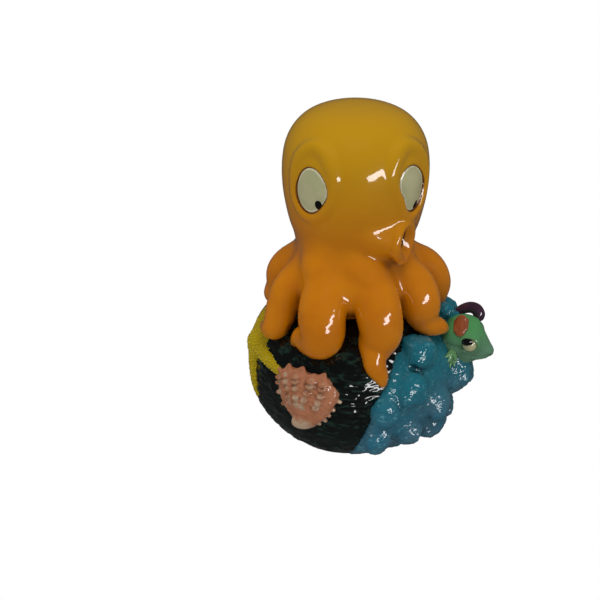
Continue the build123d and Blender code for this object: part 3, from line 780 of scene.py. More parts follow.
def relief_tree():
    """Ridged noise along the normal, stretched by three shares and warped so that the strokes wave."""
    tree, given = open_tree("pressed relief", [
        ("Height", "NodeSocketFloat"), ("Spacing", "NodeSocketFloat"), ("Stretch", "NodeSocketVector"),
        ("Warp", "NodeSocketFloat"), ("Seed", "NodeSocketFloat"), ("Sharpness", "NodeSocketFloat"),
        ("Paint", "NodeSocketMaterial")])
    where = add_node(tree, "GeometryNodeInputPosition").outputs["Position"]
    sway_scale = add_node(tree, "ShaderNodeMath", {"operation": "DIVIDE"},
                          {0: sway_share, 1: given["Spacing"]})
    sway = add_node(tree, "ShaderNodeTexNoise", {"noise_dimensions": "4D"},
                    {"Vector": where, "W": given["Seed"], "Scale": sway_scale.outputs[0],
                     "Detail": sway_detail})
    centred = add_node(tree, "ShaderNodeVectorMath", {"operation": "SUBTRACT"},
                       {0: sway.outputs["Color"], 1: (0.5, 0.5, 0.5)})
    shift = add_node(tree, "ShaderNodeVectorMath", {"operation": "SCALE"},
                     {0: centred.outputs[0], "Scale": given["Warp"]})
    moved = add_node(tree, "ShaderNodeVectorMath", {"operation": "ADD"}, {0: where, 1: shift.outputs[0]})
    drawn = add_node(tree, "ShaderNodeVectorMath", {"operation": "MULTIPLY"},
                     {0: moved.outputs[0], 1: given["Stretch"]})
    scale = add_node(tree, "ShaderNodeMath", {"operation": "DIVIDE"}, {0: 1.0, 1: given["Spacing"]})
    noise = add_node(tree, "ShaderNodeTexNoise", {"noise_dimensions": "4D"},
                     {"Vector": drawn.outputs[0], "W": given["Seed"], "Scale": scale.outputs[0],
                      "Detail": stroke_detail})
    signed = add_node(tree, "ShaderNodeMapRange", {"clamp": False},
                      {"Value": noise.outputs[0], "From Min": fold_shares[0], "From Max": fold_shares[1],
                       "To Min": -1.0, "To Max": 1.0})
    folded = add_node(tree, "ShaderNodeMath", {"operation": "ABSOLUTE"}, {0: signed.outputs[0]})
    ridge = add_node(tree, "ShaderNodeMath", {"operation": "SUBTRACT", "use_clamp": True},
                     {0: 1.0, 1: folded.outputs[0]})
    keen = add_node(tree, "ShaderNodeMath", {"operation": "POWER"},
                    {0: ridge.outputs[0], 1: given["Sharpness"]})
    mask = add_node(tree, "GeometryNodeInputNamedAttribute", {"data_type": "FLOAT"}, {"Name": "relief"})
    amount = add_node(tree, "ShaderNodeMath", {"operation": "MULTIPLY"},
                      {0: keen.outputs[0], 1: mask.outputs["Attribute"]})
    climb = add_node(tree, "ShaderNodeMath", {"operation": "MULTIPLY"},
                     {0: amount.outputs[0], 1: given["Height"]})
    normal = add_node(tree, "GeometryNodeInputNormal").outputs["Normal"]
    offset = add_node(tree, "ShaderNodeVectorMath", {"operation": "SCALE"},
                      {0: normal, "Scale": climb.outputs[0]})
    pressed = add_node(tree, "GeometryNodeSetPosition", {},
                       {"Geometry": given["Geometry"], "Offset": offset.outputs[0]})
    marked = add_node(tree, "GeometryNodeStoreNamedAttribute", {"data_type": "FLOAT", "domain": "POINT"},
                      {"Geometry": pressed.outputs[0], "Name": "ridge", "Value": amount.outputs[0]})
    return close_tree(tree, marked.outputs[0], given["Paint"])


def run_tree(piece, tree, values):
    """Runs a Geometry Nodes tree on a piece with its inputs set, and leaves a plain mesh."""
    modifier = piece.modifiers.new(tree.name, "NODES")
    modifier.node_group = tree
    for item in tree.interface.items_tree:
        if item.item_type == "SOCKET" and item.in_out == "INPUT" and item.name in values:
            modifier[item.identifier] = values[item.name]
    bpy.context.view_layer.update()
    seen = piece.evaluated_get(bpy.context.evaluated_depsgraph_get())
    made = bpy.data.meshes.new_from_object(seen)
    piece.modifiers.remove(modifier)
    old = piece.data
    piece.data = made
    bpy.data.meshes.remove(old)
    piece.data.shade_smooth()


pressed_relief = relief_tree()

# %% [markdown]
# ## Boulder
# The stone is a squashed dome on a narrower foot, hollow underneath where the mould's core was. The body of
# the solid is right but smooth. A fine lathed grid of it, closed round the hollow, takes the brushed ridges.

# %% Boulder
rock_waist_share = 0.475
rock_crown_share = 0.90
rock_dome_power = 2.4
rock_undercut_share = 0.24
rock_undercut_power = 2.6
rock_lobe_shares = ((2, 0.012, 40.0), (3, 0.016, 10.0), (5, 0.010, 70.0))    # waves, depth and start
rock_wall = 6.0
cavity_height = 27.0
cavity_draft = 11.0
cavity_corner_offsets = ((1.0, -5.0), (-0.8, -1.2), (-5.0, 0.0))     # that round off the core's top corner
rock_levels = 400
rock_grain = 0.6
cavity_grain = 2.5
rock_spokes = 380
rock_pole = 1.0          # radius of the smallest ring, on top and in the cavity
rock_top_rings = 12
rock_slope_step = 0.2
rock_relief_fade = 3.0   # the ridges are at their full height this far above the table


def rock_reach(height):
    """Radius of the boulder at a height, without its lobes."""
    share = np.clip(height / seat_height, 0, 1)
    rise = np.maximum(share - rock_waist_share, 0) / (1 - rock_waist_share) * rock_crown_share
    drop = np.maximum(rock_waist_share - share, 0) / rock_waist_share
    return (rock_radius * (1 - rise ** rock_dome_power) ** (1 / rock_dome_power)
            * (1 - rock_undercut_share * drop ** rock_undercut_power))


def lobed(radius, azimuth):
    """A radius with the boulder's gentle lobes, at an azimuth in radians."""
    swell = 0
    for waves, depth, start in rock_lobe_shares:
        swell = swell + depth * np.cos(waves * azimuth + math.radians(start))
    return radius * (1 + swell)


def rock_place(azimuth, height, lift=0.0):
    """A place over the boulder, lifted straight off its surface."""
    rise = rock_reach(height + rock_slope_step) - rock_reach(height - rock_slope_step)
    slope = rise / (2 * rock_slope_step)
    outward = around(azimuth, 1, 0) - np.array([0, 0, slope])
    outward = outward / np.linalg.norm(outward)
    reach = lobed(rock_reach(height), math.radians(azimuth))
    return around(azimuth, reach, height) + outward * lift


def even_rows(outline, grain):
    """An outline of radius and height at even steps along its length."""
    outline = np.array(outline, float)
    run = np.concatenate([[0], np.cumsum(np.linalg.norm(np.diff(outline, axis=0), axis=1))])
    wanted = np.linspace(0, run[-1], int(run[-1] / grain) + 1)
    return np.stack([np.interp(wanted, run, outline[:, 0]), np.interp(wanted, run, outline[:, 1])], 1)


heights = seat_height * (1 - np.linspace(0, 1, rock_levels) ** 2)
crown_radii = np.linspace(rock_pole, rock_reach(seat_height), rock_top_rings)[:-1]
crown = [(radius, seat_height) for radius in crown_radii]
wall = even_rows(crown + [(rock_reach(height), height) for height in heights], rock_grain)
mouth = rock_reach(0) - rock_wall
corner = mouth - cavity_height * math.tan(math.radians(cavity_draft))
under = [(rock_reach(0), 0.0), (mouth, 0.0)]
under += [(corner + across, cavity_height + up) for across, up in cavity_corner_offsets]
under.append((rock_pole, cavity_height))
rock_rows = np.vstack([wall, even_rows(under, cavity_grain)[1:]])
azimuths = np.linspace(0, 2 * math.pi, rock_spokes, endpoint=False)
points = []
mask = []
faces = []
for index, (radius, height) in enumerate(rock_rows):
    outside = index < len(wall)
    radii = lobed(radius, azimuths) if outside else np.full(rock_spokes, radius)
    level = np.full(rock_spokes, height)
    points.append(np.stack([radii * np.sin(azimuths), -radii * np.cos(azimuths), level], 1))
    mask.append(np.clip(level / rock_relief_fade, 0, 1) * outside)
    if index:
        faces += band((index - 1) * rock_spokes, index * rock_spokes, rock_spokes)
last = (len(rock_rows) - 1) * rock_spokes
top = last + rock_spokes
faces += fan(top, 0, rock_spokes)
faces += [face[::-1] for face in fan(top + 1, last, rock_spokes)]
points = np.vstack(points + [[(0, 0, seat_height), (0, 0, cavity_height)]])
mask = np.concatenate(mask + [[0.0, 0.0]])
boulder = lay_out("boulder_stone", points, faces, {"relief": mask})


# %% Dress the boulder
rock_paint = painted_resin("black green acrylic under varnish", "#0c1310", "#131f1a", patch_mm=7.0,
                           high="#070c0a", high_span=(8, 26))
dry_brush_and_highlight(rock_paint, "#1c3229", start=0.55, end=1.1)
run_tree(boulder, pressed_relief, {"Height": 0.6 * mm, "Spacing": 7.0 * mm, "Stretch": (1.0, 1.0, 4.2),
                                   "Warp": 5.0 * mm, "Seed": 3.0, "Sharpness": 1.6, "Paint": rock_paint})
show(boulder, rock_paint, "rock_black", "rock_base")

# %% [markdown]
# ## Coral
# The coral is a crust that thins to nothing at its front edge, with big rounded heads that crowd each other
# and small buds on them. It is clay again: crust, heads and buds melt together, the stone is cut out of it,
# and the relief tree adds wrinkles. Only the finest stipple is left to a bump in the paint.

# %% Coral mound
coral_low = (-6, -46, -2)
coral_high = (50, 44, 50)
coral_crust_high = (50, 44, 44)
coral_grain = 0.5
coral_crust = 2.8
coral_crust_shares = (0.35, 0.65, 0.92, 1.0, 1.0, 0.95, 0.85, 0.65, 0.40, 0.16)
coral_crust_levels = (0.0, 0.106, 0.229, 0.37, 0.493, 0.598, 0.695, 0.774, 0.836, 0.88)
coral_edge_offset = -2.5
coral_edge_lean = 21.0
coral_edge_round = 2.5
coral_head_radius = 6.5
coral_head_rise = 0.60
coral_head_shares = (    # azimuth, height of the seat's and radius
    (43, 0.83, 0.92), (31, 0.63, 1.00), (16, 0.50, 0.86), (50, 0.40, 1.00), (12, 0.25, 0.72),
    (30, 0.27, 0.86), (52, 0.20, 0.92), (76, 0.50, 1.48), (95, 0.34, 1.10), (76, 0.15, 0.85),
    (106, 0.75, 1.00), (117, 0.40, 1.20), (126, 0.66, 0.95), (104, 0.15, 0.85), (138, 0.36, 1.10),
    (150, 0.55, 0.85), (160, 0.24, 0.85))
coral_head_melt = 1.2
coral_bud_count = 130
coral_bud_radii = (1.4, 3.2)
coral_bud_lift_shares = (-0.85, -0.6)        # of its radius, from the clay to the middle of a bud
coral_bud_melt = 1.6
coral_bud_clearance = 0.8    # buds stand where the clay is this far off the bare stone
coral_bud_floor = 1.0
coral_overlap = 0.5      # how far the clay runs on into the stone
coral_relief_fade = 2.0
slant_share = 0.9        # a distance taken level is longer than the true one to a leaning surface
stone_block_reach = 40
trim_margin = 0.5        # room for the relief that is pressed in afterwards
trim_round = 1.2
rng = np.random.default_rng(11)


def coral_skin(x, y, z):
    """Distance to the crust over the boulder, right of its leaning edge."""
    level = z / seat_height
    crust = coral_crust * np.interp(level, coral_crust_levels, coral_crust_shares, right=-1.0)
    azimuth = np.arctan2(x, -y)
    over = (np.hypot(x, y) - lobed(rock_reach(z) + crust, azimuth)) * slant_share
    lean = math.radians(coral_edge_lean)
    edge = z * math.sin(lean) - (x - coral_edge_offset) * math.cos(lean)
    return trim(over, edge, coral_edge_round)


def keep_inside(clay, node):
    """Trims clay to the box that the frame gives a node, so that no relief leaves the object's size."""
    low, high = (np.array(corner) / mm - axis_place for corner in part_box(node))
    for axis, row in enumerate(clay.rows):
        beyond = np.maximum(low[axis] - row, row - high[axis]) + trim_margin
        shape = [1, 1, 1]
        shape[axis] = -1
        clay.depth = trim(clay.depth, beyond.reshape(shape), trim_round)


def stone_skin(x, y, z):
    """Distance to the boulder, a little inside its surface."""
    return (np.hypot(x, y) - lobed(rock_reach(z), np.arctan2(x, -y)) + coral_overlap) * slant_share


coral = Clay(coral_low, coral_high, coral_grain)
coral.add((coral_skin, coral_low, coral_crust_high))
for azimuth, height_share, radius_share in coral_head_shares:
    radius = coral_head_radius * radius_share
    lift = coral_crust + radius * (coral_head_rise - 1)
    coral.add(ball(rock_place(azimuth, seat_height * height_share, lift), radius), coral_head_melt)
points, quads = coral.surface()
outward = coral.slope(points)
bare = lobed(rock_reach(points[:, 2]), np.arctan2(points[:, 0], -points[:, 1]))
clear = np.hypot(points[:, 0], points[:, 1]) > bare + coral_bud_clearance
spots = rng.permutation(np.flatnonzero(clear & (points[:, 2] > coral_bud_floor)))[:coral_bud_count]
for index in spots:
    radius = rng.uniform(*coral_bud_radii)
    lift = radius * rng.uniform(*coral_bud_lift_shares)
    coral.add(ball(points[index] + outward[index] * lift, radius), coral_bud_melt)
stone_low = (-stone_block_reach, -stone_block_reach, coral_low[2])
coral.carve((stone_skin, stone_low, (stone_block_reach, stone_block_reach, seat_height)))
keep_inside(coral, "coral_mound")
under_table = coral.rows[2] < 0
coral.depth[:, :, under_table] = np.maximum(coral.depth[:, :, under_table], -coral.rows[2][under_table])
points, quads = coral.surface()
points[:, 2] = np.maximum(points[:, 2], 0)
mask = np.clip(points[:, 2] / coral_relief_fade, 0, 1)
mound = lay_out("coral_heads", points, quads, {"hollow": coral.hollows(points), "relief": mask})
# painted shade: the near-black wash tone fills the gaps between heads and under the arms and fish, where
# shade falls
coral_paint = painted_resin("turquoise acrylic under varnish", "#2b6a80", "#46697a", wash_and_shade="#04151c",
                            wash_and_shade_start=0.1, high="#1b6877", high_span=(14, 34),
                            stipple_mm=1.3, stipple_rise_mm=0.22)
# painted highlight: the pale tone on the coral's ridges stands for glints of the light from above, over
# dry-brushed paint
dry_brush_and_highlight(coral_paint, "#5f9ba6", start=0.7, end=1.6, patch_mm=4.0)
run_tree(mound, pressed_relief, {"Height": 0.4 * mm, "Spacing": 2.4 * mm, "Stretch": (1.0, 1.0, 1.4),
                                 "Warp": 2.0 * mm, "Seed": 8.0, "Sharpness": 1.3, "Paint": coral_paint})
show(mound, coral_paint, "coral_blue", "coral_mound")

# %% Coral knob beside the right arm
knob_block = ((24, -14, 30), (46, 8, 54))
knob_grain = 0.4
knob_balls = (           # azimuth, reach, height and radius
    (84.0, 32.6, 42.6, 3.4), (83.0, 35.2, 40.2, 2.9), (80.0, 34.0, 38.0, 2.6))
knob_melt = 1.0
knob_bud_count = 9
knob_bud_out_share = 0.85
knob_bud_radii = (0.8, 1.3)
knob_bud_melt = 0.5
knob = Clay(*knob_block, knob_grain)
for azimuth, reach, height, radius in knob_balls:
    centre = around(azimuth, reach, height)
    knob.add(ball(centre, radius), knob_melt)
    for _ in range(knob_bud_count):
        lean = rng.normal(size=3)
        lean = lean / np.linalg.norm(lean)
        bud = ball(centre + lean * radius * knob_bud_out_share, rng.uniform(*knob_bud_radii))
        knob.add(bud, knob_bud_melt)
points, quads = knob.surface()
everywhere = np.ones(len(points))
tuber = lay_out("coral_knob_bud", points, quads, {"hollow": knob.hollows(points), "relief": everywhere})
run_tree(tuber, pressed_relief, {"Height": 0.3 * mm, "Spacing": 2.0 * mm, "Stretch": (1.0, 1.0, 1.0),
                                 "Warp": 1.0 * mm, "Seed": 5.0, "Sharpness": 1.2, "Paint": coral_paint})
show(tuber, coral_paint, "coral_blue", "coral_knob")

# %% [markdown]
# ## Starfish
# The starfish is five limbs over the boulder's shoulder. Its skin is a crowd of tiny round spines. Hundreds
# of them by hand would take an afternoon, so a Geometry Nodes tree scatters small balls over the faces, at
# least a spacing apart, with a fixed seed and sizes that vary a little.

# %% A Geometry Nodes tree that scatters grains
grain_size_shares = (0.7, 1.15)


def grain_tree():
    """Small balls scattered over a piece, and the piece itself."""
    tree, given = open_tree("scattered grains", [
        ("Radius", "NodeSocketFloat"), ("Spacing", "NodeSocketFloat"), ("Density", "NodeSocketFloat"),
        ("Seed", "NodeSocketInt"), ("Paint", "NodeSocketMaterial")])
    spread = add_node(tree, "GeometryNodeDistributePointsOnFaces", {"distribute_method": "POISSON"},
                      {"Mesh": given["Geometry"], "Distance Min": given["Spacing"],
                       "Density Max": given["Density"], "Seed": given["Seed"]})
    grain = add_node(tree, "GeometryNodeMeshIcoSphere", {}, {"Radius": given["Radius"], "Subdivisions": 1})
    chance = add_node(tree, "FunctionNodeRandomValue", {"data_type": "FLOAT"},
                      {2: grain_size_shares[0], 3: grain_size_shares[1], "Seed": given["Seed"]})
    placed = add_node(tree, "GeometryNodeInstanceOnPoints", {},
                      {"Points": spread.outputs["Points"], "Instance": grain.outputs["Mesh"],
                       "Scale": chance.outputs[1]})
    balls = add_node(tree, "GeometryNodeRealizeInstances", {}, {"Geometry": placed.outputs[0]})
    ridged = add_node(tree, "GeometryNodeStoreNamedAttribute", {"data_type": "FLOAT", "domain": "POINT"},
                      {"Geometry": balls.outputs[0], "Name": "ridge", "Value": 1.0})
    both = add_node(tree, "GeometryNodeJoinGeometry")
    tree.links.new(given["Geometry"], both.inputs[0])
    tree.links.new(ridged.outputs[0], both.inputs[0])
    return close_tree(tree, both.outputs[0], given["Paint"])


# %% Starfish
star_low = (-42, -30, 5)
star_high = (-12, 18, 50)
star_grain = 0.4
star_arms = 5
star_arm_length = 21.5
star_girth = 3.3
star_azimuth = -76.0
star_level_share = 0.73
star_climb_share = 0.56  # arms that point up lie over the shoulder and rise by this much of their run
star_turn = -7.0
star_run_shares = (0.0, 0.25, 0.5, 0.75, 1.0)
star_girth_shares = (1.15, 0.95, 0.78, 0.60, 0.36)
star_sink_share = 0.35
star_melt = 2.0
starfish = Clay(star_low, star_high, star_grain)
star_level = seat_height * star_level_share
for index in range(star_arms):
    turn = math.radians(star_turn + index * 360 / star_arms)
    rows = []
    for run_share, girth_share in zip(star_run_shares, star_girth_shares):
        run = star_arm_length * run_share
        climb = run * math.sin(turn) * (1 if math.sin(turn) < 0 else star_climb_share)
        azimuth = star_azimuth + math.degrees(run * math.cos(turn) / rock_reach(star_level))
        girth = star_girth * girth_share
        rows.append((*rock_place(azimuth, star_level + climb, -girth * star_sink_share), girth))
    starfish.add(limb(smooth_route(rows, 3)), star_melt)
keep_inside(starfish, "starfish")
star = cast("starfish_body", starfish)
# the wash colour darkens the creases between the starfish's arms and grains, painted shade as well as wash
star_paint = painted_resin("yellow acrylic under varnish", "#a18908", "#ab950b", patch_mm=5.0,
                           wash_and_shade="#66560a", wash_and_shade_start=0.4)
dry_brush_and_highlight(star_paint, "#c5ae22", start=0.3, end=0.9)
run_tree(star, grain_tree(), {"Radius": 0.36 * mm, "Spacing": 0.66 * mm, "Density": 2.4e6, "Seed": 4,
                              "Paint": star_paint})
show(star, star_paint, "starfish_yellow", "starfish")

# %% [markdown]
# ## Scallop shell
# This shell is a scaly fan: ribs that spread from a smooth hinge, each with a row of cupped scales, a frilled
# upper edge and blunt teeth down its right side. All places are given on the boulder, across and up from the
# middle of the shell, so that the fan hugs the stone.

# %% Scallop shell
shell_azimuth = -25.0
shell_level_share = 0.60
shell_ribs = (           # across and up from the middle of the shell, from the hinge outward
    ((-3.4, -8.6), (-6.6, -6.6), (-9.2, -3.6), (-11.0, -0.4), (-11.2, 2.0), (-11.6, 3.0)),
    ((-2.4, -7.6), (-4.4, -4.0), (-5.6, -2.0), (-6.4, -0.2), (-7.2, 1.8), (-8.6, 3.4), (-8.8, 5.0)),
    ((-1.4, -7.0), (-2.2, -3.2), (-2.8, -1.4), (-3.0, 1.2), (-3.8, 3.4), (-4.1, 4.8), (-4.3, 6.0)),
    ((-0.6, -7.0), (-0.8, -3.6), (-0.2, -1.2), (0.4, 1.0), (1.2, 3.4), (1.5, 5.0), (1.8, 6.2)),
    ((0.8, -7.2), (3.2, -3.4), (4.0, -1.0), (4.8, 0.8), (5.4, 3.4), (5.4, 4.8), (5.5, 5.8)),
    ((2.0, -8.2), (4.6, -5.4), (6.4, -2.6), (7.2, -0.4), (8.0, 1.2), (8.3, 2.4)))
shell_teeth = (((2.6, -7.0), (4.0, -8.4)), ((4.2, -5.0), (5.9, -6.5)), ((5.4, -2.8), (7.1, -4.2)),
               ((6.6, -0.6), (8.4, -2.0)), ((8.2, 1.4), (10.2, 0.6)))
shell_frill = ((-13.4, 4.6), (-11.4, 4.4), (-9.4, 7.3), (-7.4, 6.2), (-5.2, 7.0), (-2.8, 8.3), (-0.8, 6.8),
               (1.8, 7.4), (3.4, 7.2), (5.2, 8.2), (6.2, 6.0), (7.2, 5.2), (8.9, 4.4), (9.0, 2.4))
shell_low = (-34, -44, 8)
shell_high = (4, -22, 44)
shell_grain = 0.27
shell_dome = 2.6
shell_half = 12.0
shell_lift = 0.6         # of the rim of its dome off the stone
shell_hollow_reaches = (0.5, 1.0, 2.0)
rib_girth = 1.9
rib_hinge_share = 0.55   # its girth at the hinge
rib_sink_share = 0.8
rib_fill_places = 8      # of the clay between one rib and the next
rib_fill_sink_share = 0.95
rib_melt = 1.6
scale_radii = (1.9, 1.3, 0.95)
scale_first_share = 0.6  # the scales grow from this share at the hinge
scale_lift = 0.35
scale_melt = 0.3
scale_up = (0, 0, 0.2)
cup_radius = 0.85        # of the hollow over each scale
cup_out = 0.8
cup_up = (0, 0, 1.0)
cup_round = 0.2
tooth_root_sink = 1.0
tooth_tip_sink = 0.8
tooth_girths = (0.8, 0.68)
tooth_longer_share = 0.35
tooth_melt = 0.4
flute_start_share = 0.78 # how far out the flutes behind the frilled edge start
flute_sink = 0.7
flute_girths = (1.1, 0.5)
flute_melt = 0.9
edge_girth = 0.5
edge_lift = 0.1
edge_melt = 0.6
growth_rise = 0.07       # rings of growth round the hinge
growth_step = 1.5
hinge_spot = (-0.8, -9.6)
hinge_sink = 0.3
hinge_radii = (4.2, 2.2, 2.6)
hinge_melt = 1.4
hinge_pale_radii = (4.6, 3.6, 3.4)
hinge_pale_share = 1.6
pale_reach = 1.7         # the light tone on a scale or a tooth thins out over this
pale_start_share = 1.25
pale_most_share = 0.7


def shell_place(across, up, lift=0.0):
    """A place on the shell's dome over the boulder, or lifted off it."""
    crown = shell_dome * max(1 - (across ** 2 + up ** 2) / shell_half ** 2, 0) + shell_lift
    azimuth = shell_azimuth + math.degrees(across / rock_radius)
    return rock_place(azimuth, seat_height * shell_level_share + up, crown + lift)


def along_rib(rib, share):
    """A spot part of the way along a rib."""
    spots = smooth_route(rib)
    return spots[int(share * (len(spots) - 1))]


shell = Clay(shell_low, shell_high, shell_grain)
for rib, next_rib in zip(shell_ribs, shell_ribs[1:] + shell_ribs[-1:]):
    spine = smooth_route(rib, 3)
    rows = []
    for spot, share in zip(spine, np.linspace(0, 1, len(spine))):
        girth = rib_girth * (rib_hinge_share + (1 - rib_hinge_share) * share)
        rows.append((*shell_place(*spot, -girth * rib_sink_share), girth))
    shell.add(limb(rows), rib_melt)
    fill = []
    for share in np.linspace(0, 1, rib_fill_places):
        spot = (along_rib(rib, share) + along_rib(next_rib, share)) / 2
        fill.append((*shell_place(*spot, -rib_girth * rib_fill_sink_share), rib_girth))
    shell.add(limb(fill), rib_melt)
hinge = shell_place(*hinge_spot, -hinge_sink)
shell_grid = np.stack(np.meshgrid(*shell.rows, indexing="ij"), -1)
growth = np.linalg.norm(shell_grid - hinge, axis=-1)
shell.depth += growth_rise * np.cos(2 * math.pi * growth / growth_step)
pale_spots = []
for rib in shell_ribs[:-1]:
    spots = smooth_route(rib, 2)[3::2]
    for index, spot in enumerate(spots):
        size = scale_first_share + (1 - scale_first_share) * (index + 1) / len(spots)
        place = shell_place(*spot, scale_lift)
        cup = shell_place(*spot, scale_lift + cup_out * size) + np.array(cup_up) * size
        shell.add(ball(place + np.array(scale_up), np.array(scale_radii) * size), scale_melt)
        shell.carve(ball(cup, cup_radius * size), cup_round)
        pale_spots.append(place)
for inner, outer in shell_teeth:
    start = shell_place(*inner, -tooth_root_sink)
    end = shell_place(*outer, -tooth_tip_sink)
    end = end + (end - start) * tooth_longer_share
    shell.add(limb([(*start, tooth_girths[0]), (*end, tooth_girths[1])]), tooth_melt)
    pale_spots.append(end)
for across, up in shell_frill:
    inner = shell_place(across * flute_start_share, up * flute_start_share, -flute_sink)
    outer = shell_place(across, up)
    shell.add(limb([(*inner, flute_girths[0]), (*outer, flute_girths[1])]), flute_melt)
frill = [(*shell_place(*spot, edge_lift), edge_girth) for spot in smooth_route(shell_frill, 3)]
shell.add(limb(frill), edge_melt)
shell.add(ball(hinge, hinge_radii), hinge_melt)
points, quads = shell.surface()
nearest = np.full(len(points), far_away)
for spot in pale_spots:
    nearest = np.minimum(nearest, np.linalg.norm(points - spot, axis=1))
pale = np.clip(pale_start_share - nearest / pale_reach, 0, pale_most_share)
hinge_gap = np.linalg.norm((points - hinge) / np.array(hinge_pale_radii), axis=1)
pale = np.maximum(pale, np.clip(hinge_pale_share - hinge_gap, 0, 1))
hollow = shell.hollows(points, shell_hollow_reaches)
scallop = lay_out("scallop_fan", points, quads, {"hollow": hollow, "ridge": pale})
# painted shade: the dark wash under each scale and between the ribs stands where shade falls
shell_paint = painted_resin("pink acrylic under varnish", "#a66c4c", "#b37556", patch_mm=3.0,
                            wash_and_shade="#4a2a1a", wash_and_shade_start=0.25)
dry_brush_and_highlight(shell_paint, "#b39a80", start=0.35, end=0.95, patch_mm=3.0)
show(scallop, shell_paint, "shell_pink", "scallop_shell")

# %% [markdown]
# ## Fish
# The fish is a short, deep body with a pointed snout. Its side view is a list of places along its length,
# each with the height of its back and its belly and its thickness, and clay is laid between them. Grooves
# for the mouth and the gill and sockets for the eyes are carved in. Fins and tail are limbs, and the fish's
# own frame turns them all together: along the body, up, and out toward the far side.

# %% The fish's own frame
fish_length = 22.0
fish_height = 18.4
fish_thickness = 12.5
fish_azimuth = 76.4
fish_reach = 40.4
fish_level = 33.6
fish_heading = 75.0
fish_dip = 14.0
dip = math.radians(fish_dip)
fish_middle = around(fish_azimuth, fish_reach, fish_level)
fish_ahead = around(fish_heading, math.cos(dip), -math.sin(dip))
fish_far = np.cross([0, 0, 1], fish_ahead) / math.cos(dip)
fish_up = np.cross(fish_ahead, fish_far)


def fish_place(run, up, out):
    """A place on the fish, in millimetres along it, up and toward its far side."""
    return fish_middle + fish_ahead * run + fish_up * up + fish_far * out


def fish_clay(low, high, reach, grain):
    """A block of clay from a reach before one place on the fish to a reach beyond another."""
    return Clay(fish_place(*low) - reach, fish_place(*high) + reach, grain)


fish_profile_shares = (  # along the length, back and belly of the height, thickness
    (-0.44, 0.10, 0.04, 0.15), (-0.40, 0.26, -0.10, 0.50), (-0.34, 0.40, -0.26, 0.78),
    (-0.25, 0.50, -0.40, 0.93), (-0.15, 0.55, -0.48, 1.0), (-0.04, 0.565, -0.50, 1.0),
    (0.05, 0.54, -0.475, 0.96), (0.12, 0.47, -0.41, 0.88), (0.19, 0.375, -0.315, 0.79),
    (0.27, 0.265, -0.22, 0.66), (0.35, 0.16, -0.14, 0.50), (0.41, 0.09, -0.09, 0.38),
    (0.44, 0.05, -0.055, 0.26), (0.455, 0.01, -0.015, 0.12))
profile = smooth_route(fish_profile_shares, 5)
fish_runs = profile[:, 0] * fish_length
fish_backs = profile[:, 1] * fish_height
fish_bellies = profile[:, 2] * fish_height
fish_least_share = 0.05
fish_halves = np.maximum(profile[:, 3], fish_least_share) * fish_thickness / 2
fish_least_half = 0.15
fish_form_reach = 14.0   # no part of the body is further than this from its middle


def fish_section(run):
    """Height of the fish's middle, half its height and half its thickness at a place along it."""
    back, belly, half = (np.interp(run, fish_runs, row) for row in (fish_backs, fish_bellies, fish_halves))
    return (back + belly) / 2, (back - belly) / 2, half


def fish_skin(x, y, z):
    """Distance to the fish's body, oval across at every place along it."""
    gap = [axis - middle for axis, middle in zip((x, y, z), fish_middle)]
    run, up, out = (sum(g * a for g, a in zip(gap, way)) for way in (fish_ahead, fish_up, fish_far))
    middle, tall, half = fish_section(run)
    tall = np.maximum(tall, fish_least_half)
    oval = np.sqrt(((up - middle) / tall) ** 2 + (out / half) ** 2)
    ends = np.maximum(fish_runs[0] - run, run - fish_runs[-1])
    return np.maximum((oval - 1) * np.minimum(tall, half) * slant_share, ends)


def on_flank(run, up, lift=0.0, side=-1):
    """A place on a side of the fish, lifted off it."""
    middle, tall, half = fish_section(run)
    bulge = half * math.sqrt(max(1 - ((up - middle) / tall) ** 2, 0))
    return fish_place(run, up, side * (bulge + lift))


def flank_limb(spots, lift, girth, side):
    """A limb along spots on a side of the fish, for a groove or a swelling."""
    return limb([(*on_flank(*spot, lift, side), girth) for spot in smooth_route(spots, 3)])


# %% Fish body
fish_block = ((0, 0, 0), (0, 0, 0), 15, 0.35)    # two places, the reach beyond them and the grain
fish_hollow_reaches = (0.5, 1.2, 2.4)
fish_eye = (1.1, 3.3)            # along and up
fish_eye_radius = 2.45
fish_lid_lifts = (-1.3, -1.2)    # off the flank
fish_lid_girth = 3.6
fish_lid_melt = 1.6
fish_socket = ((1.7, 0.35), (4.0, 0.5))      # off the flank, and how much wider than the eye
fish_socket_round = 0.4
fish_mouth = ((9.3, -0.1), (7.6, -0.9), (5.4, -1.4), (3.4, -1.3))
fish_gill = ((-6.8, 0.2), (-4.6, 0.3), (-2.6, 0.8), (-1.0, 1.6))
fish_lip_offset = (0.2, -0.9)    # from the mouth
fish_lip = np.array(fish_mouth[1:]) + fish_lip_offset
fish_mouth_groove = (0.1, 0.34)  # lift off the flank and girth
fish_gill_groove = (0.2, 0.65)
fish_lip_swell = (-0.5, 0.6)
fish_mouth_round = 0.5
fish_gill_round = 0.8
fish_lip_melt = 0.8
fish = fish_clay(*fish_block)
fish.add((fish_skin, fish_middle - fish_form_reach, fish_middle + fish_form_reach))
for side in (-1, 1):
    lid = [(*on_flank(*fish_eye, lift, side), fish_lid_girth) for lift in fish_lid_lifts]
    socket = [(*on_flank(*fish_eye, lift, side), fish_eye_radius + wider) for lift, wider in fish_socket]
    fish.add(limb(lid), fish_lid_melt)
    fish.carve(limb(socket), fish_socket_round)
    fish.carve(flank_limb(fish_mouth, *fish_mouth_groove, side), fish_mouth_round)
    fish.carve(flank_limb(fish_gill, *fish_gill_groove, side), fish_gill_round)
    fish.add(flank_limb(fish_lip, *fish_lip_swell, side), fish_lip_melt)
# the wash colour darkens the mouth, gill and eye grooves, painted shade as well as wash
fish_paint = painted_resin("sea green acrylic under varnish", "#557a5f", "#608a6c", patch_mm=5.0,
                           wash_and_shade="#1f3d28", wash_and_shade_start=0.25, high="#4c8f54", high_span=(32, 43))
show(cast("fish_body_clay", fish, fish_hollow_reaches), fish_paint, "fish_green", "fish_body")


